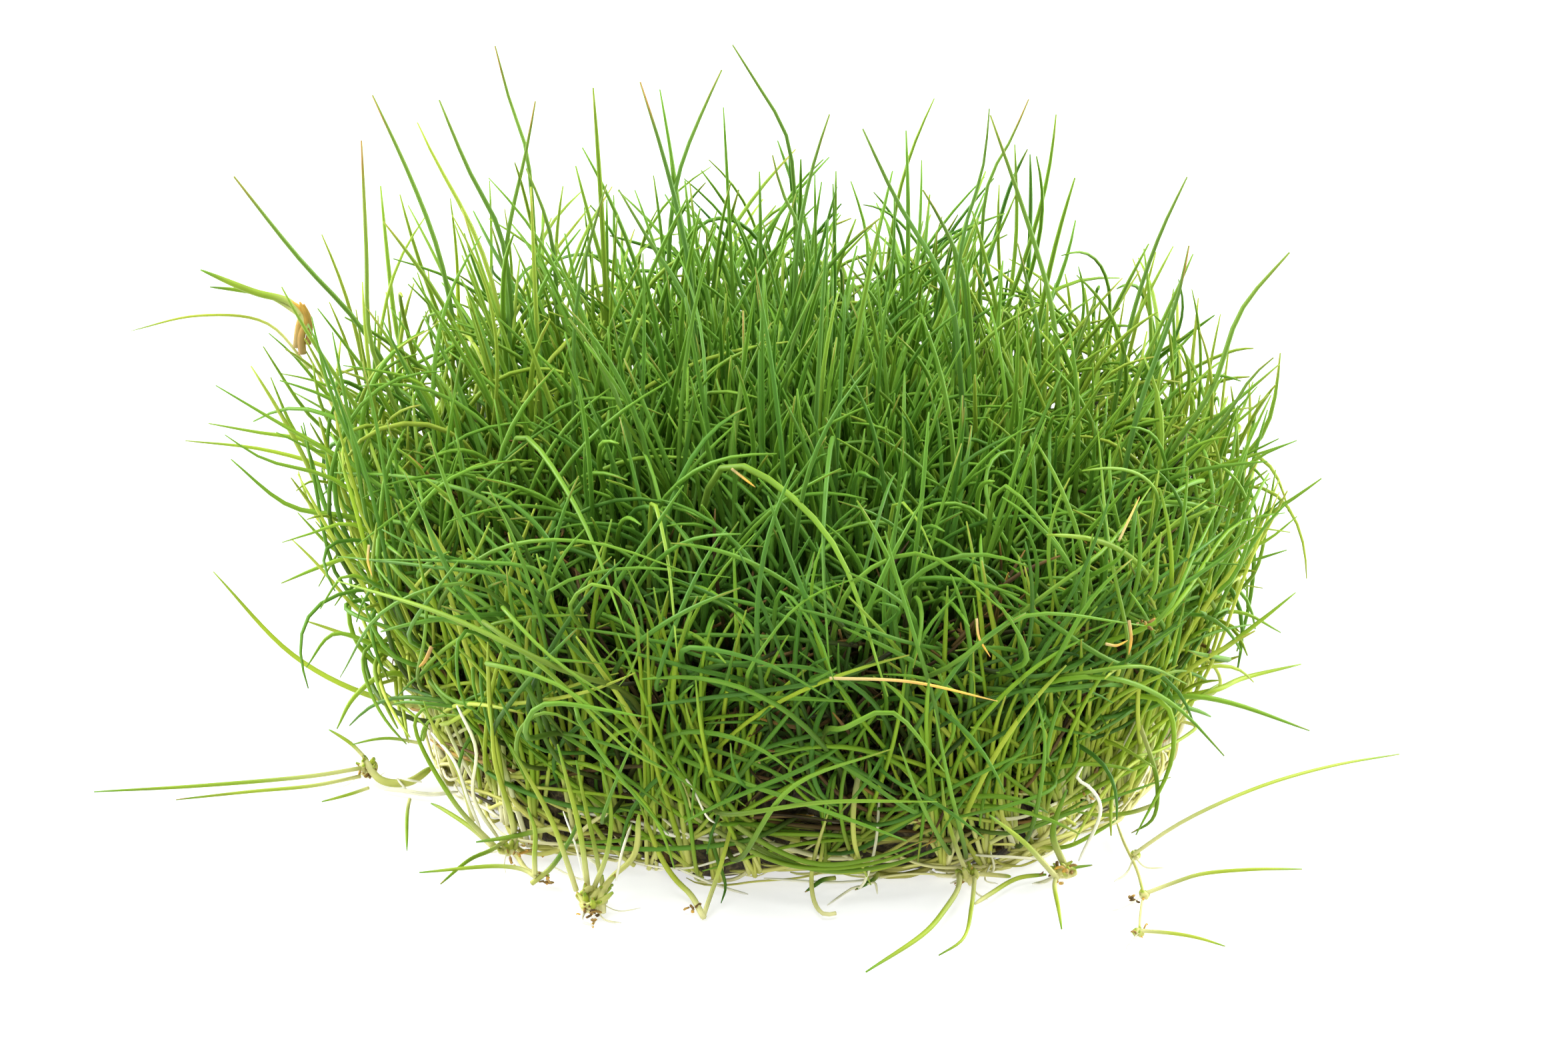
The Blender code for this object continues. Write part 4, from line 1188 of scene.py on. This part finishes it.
def thatch(rng, template, material):
    """Dead brown leaves and roots that lie between the living ones, above the mat and on its side."""
    bearings = rng.uniform(0, math.tau, THATCH_STRANDS)
    radius = TURF_RADIUS * rng.uniform(*THATCH_RADII, THATCH_STRANDS)
    heights = rng.uniform(*THATCH_HEIGHTS, THATCH_STRANDS)
    radius = np.where(heights < MAT_HEIGHT, mat_edge(bearings) - THATCH_DEPTH, radius)
    aim = rng.normal(0, 1, (THATCH_STRANDS, 3))
    aim[:, 2] *= THATCH_FLATNESS
    values = {
        "root": on_circle(bearings, radius, heights),
        "aim": aim,
        "length": rng.uniform(*THATCH_LENGTHS, THATCH_STRANDS),
        "curl": rng.uniform(0, THATCH_CURL, THATCH_STRANDS),
        "droop": np.zeros(THATCH_STRANDS),
        "slack": rng.normal(*THATCH_SLACK, THATCH_STRANDS),
        "spring": np.zeros(THATCH_STRANDS),
        "thickness": rng.uniform(*THATCH_THICKNESSES, THATCH_STRANDS),
    }
    tones = rng.beta(*THATCH_TONES, THATCH_STRANDS) * PALEST_THATCH
    return stand("thatch", rng, values, tones, material, template)


def scraps(rng, template, material):
    """Brown bits of dead sheath and root, heaped at the crowns."""
    spans = template["spans"]
    lines = []
    for middle, spread, count in SCRAP_HEAPS:
        for _ in range(count):
            start = np.array(middle) + rng.normal(0, 0.5 * spread, 3)
            way = rng.normal(0, 1, 3) * SCRAP_SIZES
            bend = rng.normal(0, SCRAP_BEND, 3)
            places = np.array([start, start + way * 0.5 + bend, start + way])
            places[:, 2] = np.maximum(places[:, 2], SCRAP_LOWEST)
            lines.append(smooth_line(places, spans))
    radii = even_radii(rng.uniform(*SCRAP_THICKNESSES, len(lines)) * LEAF_RADIUS, spans, end_share=0.3)
    tones = DARKEST_SCRAP + rng.beta(*SCRAP_TONES, len(lines)) * SCRAP_TONE_SPAN
    return sweep("scraps", template, np.stack(lines), radii, tones, material)


# Finishes


CANOPY_FINISH = {
    "body": (
        (0.00, (0.036, 0.102, 0.012)),
        (0.30, (0.068, 0.192, 0.020)),
        (0.60, (0.132, 0.288, 0.023)),
        (0.85, (0.228, 0.350, 0.030)),
        (1.00, (0.290, 0.382, 0.044)),
    ),
    # base: painted shade, near-black olive-brown low on the leaves where the dense stand shades them, over
    # their browner lower parts; base_reach is how far up it goes
    "base": ((0.0, (0.013, 0.012, 0.006)), (1.0, (0.055, 0.052, 0.016))),
    "tip": ((0.0, (0.036, 0.130, 0.016)), (0.6, (0.130, 0.285, 0.020)), (1.0, (0.320, 0.420, 0.045))),
    "base_reach": 0.75,
    "tip_start": 0.75,
    "dead_tip": (0.42, 0.22, 0.06),
    "dead_from": 0.66,
    "dead_strength": 0.4,
    "roughness": 0.46,
    "bump": 0.12,
}
RIM_FINISH = dict(
    CANOPY_FINISH,
    body=(
        (0.00, (0.050, 0.140, 0.014)),
        (0.30, (0.105, 0.240, 0.016)),
        (0.60, (0.190, 0.345, 0.018)),
        (0.85, (0.330, 0.440, 0.028)),
        (1.00, (0.410, 0.485, 0.060)),
    ),
    base=(
        (0.0, (0.090, 0.140, 0.018)),
        (0.4, (0.290, 0.360, 0.042)),
        (0.7, (0.560, 0.580, 0.120)),
        (0.9, (0.740, 0.720, 0.320)),
        (1.0, (0.860, 0.830, 0.620)),
    ),
    base_reach=0.33,
)
# The tangled leaves keep that painted shade at their bases, lower down
TANGLE_FINISH = dict(CANOPY_FINISH, base_reach=0.35)
# The back leaves have a dark green painted shade at their bases
BACK_FINISH = dict(
    CANOPY_FINISH, base=((0.0, (0.020, 0.050, 0.010)), (1.0, (0.090, 0.170, 0.024))), base_reach=0.60
)
TALL_FINISH = dict(
    CANOPY_FINISH,
    body=(
        (0.00, (0.040, 0.105, 0.018)),
        (0.35, (0.076, 0.190, 0.024)),
        (0.65, (0.148, 0.285, 0.032)),
        (1.00, (0.300, 0.395, 0.060)),
    ),
    # painted shade at the base, as on the back leaves
    base=((0.0, (0.020, 0.055, 0.010)), (1.0, (0.095, 0.185, 0.024))),
    tip=((0.0, (0.050, 0.130, 0.020)), (0.6, (0.170, 0.270, 0.036)), (1.0, (0.380, 0.400, 0.070))),
    base_reach=0.55,
    dead_tip=(0.36, 0.20, 0.05),
    dead_from=0.50,
    dead_strength=0.95,
)
YOUNG_FINISH = dict(
    CANOPY_FINISH,
    body=(
        (0.00, (0.055, 0.150, 0.013)),
        (0.45, (0.180, 0.300, 0.018)),
        (0.75, (0.370, 0.440, 0.045)),
        (1.00, (0.640, 0.600, 0.240)),
    ),
    base=((0.0, (0.380, 0.420, 0.080)), (1.0, (0.720, 0.690, 0.340))),
    base_reach=0.45,
    dead_from=0.62,
    dead_strength=0.9,
)
WITHERED_FINISH = dict(
    CANOPY_FINISH,
    body=(
        (0.00, (0.028, 0.017, 0.009)),
        (0.30, (0.120, 0.072, 0.030)),
        (0.60, (0.480, 0.290, 0.060)),
        (0.85, (0.820, 0.450, 0.060)),
        (1.00, (0.860, 0.620, 0.200)),
    ),
    base=((0.0, (0.025, 0.015, 0.007)), (0.5, (0.300, 0.170, 0.050)), (1.0, (0.660, 0.540, 0.240))),
    tip=((0.0, (0.030, 0.018, 0.008)), (0.6, (0.520, 0.300, 0.050)), (1.0, (0.740, 0.460, 0.120))),
    roughness=0.62,
    bump=0.35,
)
WRAP_FINISH = dict(
    CANOPY_FINISH,
    body=(
        (0.00, (0.180, 0.130, 0.060)),
        (0.22, (0.420, 0.420, 0.080)),
        (0.50, (0.680, 0.670, 0.190)),
        (0.70, (0.820, 0.780, 0.420)),
        (0.88, (0.900, 0.860, 0.640)),
        (1.00, (0.950, 0.930, 0.870)),
    ),
    base=((0.0, (0.180, 0.130, 0.060)), (0.6, (0.580, 0.580, 0.160)), (1.0, (0.930, 0.900, 0.790))),
    tip=((0.0, (0.180, 0.130, 0.060)), (0.6, (0.540, 0.560, 0.140)), (1.0, (0.930, 0.900, 0.790))),
    base_reach=0.20,
    dead_strength=0.0,
    roughness=0.50,
    bump=0.25,
)
ROOT_FINISH = dict(
    WRAP_FINISH,
    body=((0.0, (0.660, 0.660, 0.330)), (0.5, (0.800, 0.780, 0.520)), (1.0, (0.920, 0.900, 0.780))),
    base=((0.0, (0.640, 0.640, 0.320)), (1.0, (0.880, 0.860, 0.680))),
    tip=((0.0, (0.760, 0.740, 0.520)), (1.0, (0.950, 0.930, 0.850))),
    roughness=0.38,
)

# What differs along and between strands: the pattern's stretch across and along them, and its detail
STRAND_PATTERNS = (
    ("Veins", (420.0, 2.2, 1.0), 2.0),
    ("Patches", (60.0, 3.0, 1.0), 1.0),
    ("Chance", (230.0, 0.0, 1.0), 0.0),
)
# What all strands share. Each span is from where to where in its pattern or along the strand the colour
# comes in, and from how much to how much.
BASE_FROM = 0.02
TIP_TO = 0.99
# Pale streaks along the leaves: their veins, with a painted sheen on them
PALE_VEIN_AND_SHEEN = (0.38, 0.48, 0.07)
VEIN_AND_SHEEN_SHARE = 0.24
VEIN_AND_SHEEN_SPAN = (0.50, 0.75, 0.0, 0.40)
DARK_PATCH = (0.02, 0.05, 0.006)
DARK_PATCH_SHARE = 0.5
DARK_PATCH_SPAN = (0.50, 0.80, 0.0, 0.5)
DEAD_STEP = 0.04
DEAD_TIP_SPAN = (0.90, 0.96)
VEIN_SPAN = (0.3, 0.7)
SMOOTHER = 0.06  # how much smoother and rougher than the finish says the veins are
ROUGHER = 0.08
STRAND_SHINE = 0.14
VEIN_DEPTH = 0.05 * MM
# The mat's finish: the pattern of its fibres, then their colours from the lowest to the highest
FIBRE_PATTERN = {"Scale": 1500.0, "Detail": 6.0, "Distortion": 1.2}
FIBRE_DEPTH = 0.4 * MM
FIBRE_RELIEF = 0.8
MAT_ROUGHNESS = 0.8
MAT_FIBRES = (
    (0.34, (0.012, 0.009, 0.005)),
    (0.52, (0.060, 0.044, 0.018)),
    (0.66, (0.130, 0.105, 0.042)),
    (0.82, (0.300, 0.260, 0.130)),
)


def add_node(tree, kind, **settings):
    """A shader node with these settings."""
    made = tree.nodes.new(kind)
    for name, value in settings.items():
        setattr(made, name, value)
    return made


def ramp_node(tree, stops, source):
    """A colour ramp over these (place, colour) stops, read at source."""
    made = add_node(tree, "ShaderNodeValToRGB")
    elements = made.color_ramp.elements
    while len(elements) < len(stops):
        elements.new(0.5)
    for element, (place, colour) in zip(elements, stops):
        element.position = place
        element.color = (*colour, 1.0)
    tree.links.new(source, made.inputs["Fac"])
    return made.outputs["Color"]


def mix_node(tree, share, first, second):
    """A colour mix. share, first and second are sockets or values."""
    made = add_node(tree, "ShaderNodeMix", data_type="RGBA")
    for place, value in ((0, share), (6, first), (7, second)):
        if isinstance(value, bpy.types.NodeSocket):
            tree.links.new(value, made.inputs[place])
        elif isinstance(value, tuple):
            made.inputs[place].default_value = (*value, 1.0)
        else:
            made.inputs[place].default_value = value
    return made.outputs[2]


def range_node(tree, source, low, high, to_low=0.0, to_high=1.0):
    """Map a value from one range to another, clamped."""
    made = add_node(tree, "ShaderNodeMapRange", interpolation_type="SMOOTHSTEP")
    tree.links.new(source, made.inputs["Value"])
    for place, value in (("From Min", low), ("From Max", high), ("To Min", to_low), ("To Max", to_high)):
        made.inputs[place].default_value = value
    return made.outputs["Result"]


def product_node(tree, first, second):
    """Two values multiplied."""
    made = add_node(tree, "ShaderNodeMath", operation="MULTIPLY")
    tree.links.new(first, made.inputs[0])
    tree.links.new(second, made.inputs[1])
    return made.outputs["Value"]


def make_group(name, takes, gives):
    """A shader node group with these named inputs, as (name, kind, default), and outputs."""
    tree = bpy.data.node_groups.new(name, "ShaderNodeTree")
    for socket, kind, default in takes:
        made = tree.interface.new_socket(name=socket, in_out="INPUT", socket_type=kind)
        made.default_value = default
    for socket, kind in gives:
        tree.interface.new_socket(name=socket, in_out="OUTPUT", socket_type=kind)
    start = tree.nodes.new("NodeGroupInput")
    end = tree.nodes.new("NodeGroupOutput")
    return tree, start, end


def strand_group():
    """What differs along and between strands, from their own map: fine veins, patches, and a chance
    that is the same all along one strand."""
    tree, start, end = make_group(
        "strand_pattern",
        (("Place", "NodeSocketVector", (0.0, 0.0, 0.0)),),
        (("Veins", "NodeSocketFloat"), ("Patches", "NodeSocketFloat"), ("Chance", "NodeSocketFloat")),
    )
    for output, stretch, detail in STRAND_PATTERNS:
        scaled = add_node(tree, "ShaderNodeVectorMath", operation="MULTIPLY")
        scaled.inputs[1].default_value = stretch
        tree.links.new(start.outputs["Place"], scaled.inputs[0])
        pattern = add_node(tree, "ShaderNodeTexNoise", noise_dimensions="2D")
        pattern.inputs["Scale"].default_value = 1.0
        pattern.inputs["Detail"].default_value = detail
        tree.links.new(scaled.outputs["Vector"], pattern.inputs["Vector"])
        tree.links.new(pattern.outputs["Fac"], end.inputs[output])
    return tree


def new_material(name):
    """An empty material, its node tree and its Principled shader."""
    material = bpy.data.materials.new(name)
    material.use_nodes = True
    return material, material.node_tree, material.node_tree.nodes["Principled BSDF"]


def strand_material(name, group, finish):
    """The finish of leaves, stems or roots. body, base and tip are ramps over the strand's tone; on canopy,
    back, tall and tangled leaves the base ramp is painted shade.
    """
    material, tree, shader = new_material(name)
    place = add_node(tree, "ShaderNodeUVMap", uv_map="leaf_map")
    split = add_node(tree, "ShaderNodeSeparateXYZ")
    tree.links.new(place.outputs["UV"], split.inputs["Vector"])
    tone = split.outputs["X"]
    along = split.outputs["Y"]
    pattern = add_node(tree, "ShaderNodeGroup", node_tree=group)
    tree.links.new(place.outputs["UV"], pattern.inputs["Place"])
    veins = pattern.outputs["Veins"]
    body = ramp_node(tree, finish["body"], tone)
    base = ramp_node(tree, finish["base"], tone)
    tip = ramp_node(tree, finish["tip"], tone)
    # painted shade at the base of the canopy's leaves; the real pale foot of rim leaves, stems and roots
    near_base = range_node(tree, along, BASE_FROM, finish["base_reach"], 1.0, 0.0)
    colour = mix_node(tree, near_base, body, base)
    colour = mix_node(tree, range_node(tree, along, finish["tip_start"], TIP_TO), colour, tip)
    # the pale streaks: veins with painted sheen
    pale = mix_node(tree, VEIN_AND_SHEEN_SHARE, colour, PALE_VEIN_AND_SHEEN)
    colour = mix_node(tree, range_node(tree, veins, *VEIN_AND_SHEEN_SPAN), colour, pale)
    dark = mix_node(tree, DARK_PATCH_SHARE, colour, DARK_PATCH)
    colour = mix_node(tree, range_node(tree, pattern.outputs["Patches"], *DARK_PATCH_SPAN), colour, dark)
    dead_span = (finish["dead_from"], finish["dead_from"] + DEAD_STEP, 0.0, finish["dead_strength"])
    is_dead = range_node(tree, pattern.outputs["Chance"], *dead_span)
    dead_tip = product_node(tree, is_dead, range_node(tree, along, *DEAD_TIP_SPAN))
    colour = mix_node(tree, dead_tip, colour, finish["dead_tip"])
    tree.links.new(colour, shader.inputs["Base Color"])
    smoothest = finish["roughness"] - SMOOTHER
    roughest = finish["roughness"] + ROUGHER
    roughness = range_node(tree, veins, *VEIN_SPAN, smoothest, roughest)
    tree.links.new(roughness, shader.inputs["Roughness"])
    shader.inputs["Specular IOR Level"].default_value = STRAND_SHINE
    relief = add_node(tree, "ShaderNodeBump")
    relief.inputs["Strength"].default_value = finish["bump"]
    relief.inputs["Distance"].default_value = VEIN_DEPTH
    tree.links.new(veins, relief.inputs["Height"])
    tree.links.new(relief.outputs["Normal"], shader.inputs["Normal"])
    return material


def mat_material():
    """Matted roots: dark brown, straw and olive fibres."""
    material, tree, shader = new_material("matted_root")
    place = add_node(tree, "ShaderNodeTexCoord")
    fibre = add_node(tree, "ShaderNodeTexNoise")
    for name, value in FIBRE_PATTERN.items():
        fibre.inputs[name].default_value = value
    tree.links.new(place.outputs["Object"], fibre.inputs["Vector"])
    tree.links.new(ramp_node(tree, MAT_FIBRES, fibre.outputs["Fac"]), shader.inputs["Base Color"])
    shader.inputs["Roughness"].default_value = MAT_ROUGHNESS
    relief = add_node(tree, "ShaderNodeBump")
    relief.inputs["Strength"].default_value = FIBRE_RELIEF
    relief.inputs["Distance"].default_value = FIBRE_DEPTH
    tree.links.new(fibre.outputs["Fac"], relief.inputs["Height"])
    tree.links.new(relief.outputs["Normal"], shader.inputs["Normal"])
    return material


# The stage


def stage_and_camera():
    """White table, soft light and the photograph's camera."""
    material, _, shader = new_material("white_table")
    shader.inputs["Base Color"].default_value = (TABLE_WHITE, TABLE_WHITE, TABLE_WHITE, 1.0)
    shader.inputs["Roughness"].default_value = TABLE_ROUGHNESS
    shader.inputs["Emission Color"].default_value = (1.0, 1.0, 1.0, 1.0)
    shader.inputs["Emission Strength"].default_value = TABLE_GLOW
    bm = bmesh.new()
    bmesh.ops.create_grid(bm, x_segments=1, y_segments=1, size=TABLE_HALF)
    mesh = bpy.data.meshes.new("table")
    bm.to_mesh(mesh)
    bm.free()
    mesh.materials.append(material)
    table = bpy.data.objects.new("table", mesh)
    bpy.context.scene.collection.objects.link(table)

    world = bpy.data.worlds.new("white_room")
    world.use_nodes = True
    tree = world.node_tree
    room = tree.nodes["Background"]
    room.inputs["Color"].default_value = (1.0, 1.0, 1.0, 1.0)
    rays = add_node(tree, "ShaderNodeLightPath")
    glow = add_node(tree, "ShaderNodeMapRange")
    glow.inputs["To Min"].default_value = ROOM_LIGHT
    glow.inputs["To Max"].default_value = 1.0
    tree.links.new(rays.outputs["Is Camera Ray"], glow.inputs["Value"])
    tree.links.new(glow.outputs["Result"], room.inputs["Strength"])
    bpy.context.scene.world = world

    for name, place, size, power in LAMPS:
        light = bpy.data.lights.new(name, "AREA")
        light.shape = "DISK"
        light.size = size
        light.energy = power
        lamp = bpy.data.objects.new(name, light)
        lamp.location = place
        lamp.rotation_euler = (Vector(LAMP_TARGET) - lamp.location).to_track_quat("-Z", "Y").to_euler()
        bpy.context.scene.collection.objects.link(lamp)

    camera = bpy.data.cameras.new("camera")
    camera.lens = LENS
    camera.sensor_width = SENSOR_WIDTH
    camera.clip_start = NEAREST_SEEN
    view = bpy.data.objects.new("camera", camera)
    view.location = CAMERA_PLACE
    view.rotation_euler = (math.pi / 2 - CAMERA_DIP, 0.0, 0.0)
    bpy.context.scene.collection.objects.link(view)
    bpy.context.scene.camera = view
    bpy.context.scene.view_settings.view_transform = "Standard"


def place_piece(piece, nodes=()):
    """The piece rides on the turf and stands for these nodes, which it hides."""
    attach(piece, "root")
    if nodes:
        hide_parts(*nodes)


def turf(rng, finishes):
    """The leaves that grow from the mat's top and side, in zones that stand for the tufts and skirts."""
    common = tube_template(*COMMON_LEAF)
    places = crown_places(rng)
    radius = from_middle(places)[1]
    is_inner = radius < INNER_RING
    is_outer = radius >= MIDDLE_RING
    is_middle = ~is_inner & ~is_outer
    is_front = places[:, 1] < MIDDLE[1]
    inner_tufts = [f"tuft_{index:02d}" for index in range(1, 8)]
    middle_tufts = [f"tuft_{index:02d}" for index in range(8, 18)]
    outer_tufts = [f"tuft_{index:02d}" for index in range(18, 31)]
    back_skirts = [f"skirt_{index:02d}" for index in range(1, 7)]
    front_skirts = [f"skirt_{index:02d}" for index in range(7, 13)]
    rim = rim_places(rng)
    fans = fan_places(rng)
    canopy = finishes["canopy"]
    back = finishes["back"]
    pale = finishes["rim"]
    zones = (
        ("leaves_inner", places[is_inner], CANOPY_HABIT, inner_tufts, canopy),
        ("leaves_middle_front", places[is_middle & is_front], CROSSING_HABIT, middle_tufts, canopy),
        ("leaves_middle_back", places[is_middle & ~is_front], CANOPY_HABIT, middle_tufts, back),
        ("leaves_outer_front", places[is_outer & is_front], EDGE_HABIT, outer_tufts, canopy),
        ("leaves_outer_back", places[is_outer & ~is_front], EDGE_HABIT, outer_tufts, back),
        ("leaves_rim_front", rim[rim[:, 1] < MIDDLE[1]], RIM_HABIT, front_skirts, pale),
        ("leaves_rim_back", rim[rim[:, 1] >= MIDDLE[1]], RIM_HABIT, back_skirts, pale),
        ("leaves_fans", fans, FAN_HABIT, [*back_skirts, *front_skirts], pale),
    )
    for name, crowns, habit, nodes, material in zones:
        values = crown_leaves(rng, crowns, habit)
        missing = missing_share(values["root"]) * habit["gap_share"]
        if habit is RIM_HABIT:
            values["length"] *= 1 - GAP_CUT * missing
        values = chosen(values, rng.random(len(missing)) > missing)
        tones = tones_at(rng, values["root"], ZONE_TONES[name])
        place_piece(stand(name, rng, values, tones, material, common), nodes)
    place_piece(tangle(rng, common, finishes["tangle"]))


def single_leaves(rng, template, finishes):
    """The leaves and shoots at listed places, apart from the plantlets'."""
    tall = [(*row, rng.uniform(*TALL_THICKNESSES)) for row in TALL_LEAVES]
    side = [(*row, rng.uniform(*SIDE_THICKNESSES)) for row in SIDE_LEAVES]
    front = [(*row[:-2], row[-2] - FRONT_DARKNESS, row[-1] * FRONT_THICKNESS) for row in FRONT_LEAVES]
    piece = routed("leaves_tall", tall, template, finishes["tall"], lateness=9, tip_share=0.32)
    place_piece(piece)
    place_piece(routed("leaves_side", side, template, finishes["rim"]))
    place_piece(routed("leaves_front", front, template, finishes["canopy"]))
    for name, rows, finish, slot in (
        ("leaves_withered", WITHERED_LEAVES, "withered", "matted_root"),
        ("withered_shoot", WITHERED_SHOOT, "withered", "matted_root"),
        ("withered_shoot_leaves", WITHERED_SHOOT_LEAVES, "young", "leaf_young"),
        ("small_shoots", SMALL_SHOOTS, "young", "leaf_young"),
    ):
        place_piece(routed(name, rows, template, finishes[finish], has_root=False))


def main():
    """Load the frame and make every piece of the turf round it."""
    clear_scene()
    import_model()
    stage_and_camera()

    pattern = strand_group()
    finishes = {
        "canopy": strand_material("canopy_leaf", pattern, CANOPY_FINISH),
        "back": strand_material("back_leaf", pattern, BACK_FINISH),
        "tall": strand_material("tall_leaf", pattern, TALL_FINISH),
        "tangle": strand_material("tangled_leaf", pattern, TANGLE_FINISH),
        "rim": strand_material("rim_leaf", pattern, RIM_FINISH),
        "young": strand_material("young_leaf", pattern, YOUNG_FINISH),
        "withered": strand_material("withered_leaf", pattern, WITHERED_FINISH),
        "wrap": strand_material("pressed_stem", pattern, WRAP_FINISH),
        "root": strand_material("white_root", pattern, ROOT_FINISH),
        "mat": mat_material(),
    }
    rng = np.random.default_rng(SEED)
    fine = tube_template(*FINE_LEAF)
    strand = tube_template(*STRAND)
    short_strand = tube_template(*SHORT_STRAND)
    scrap = tube_template(*SCRAP)

    turf(rng, finishes)
    single_leaves(rng, fine, finishes)
    for name, form in PLANTLETS.items():
        place_piece(plantlet(name + "_leaves", form, rng, fine, finishes["young"]), [name])

    place_piece(mat_core(finishes["mat"]), ["root_mat"])
    place_piece(rim_strands(rng, strand, finishes["wrap"]), ["root_mat"])
    place_piece(pressed_roots(rng, strand, finishes["wrap"]), ["root_mat"])
    place_piece(white_roots(rng, strand, finishes["root"]))
    place_piece(thatch(rng, short_strand, finishes["withered"]))
    place_piece(scraps(rng, scrap, finishes["withered"]))


main()
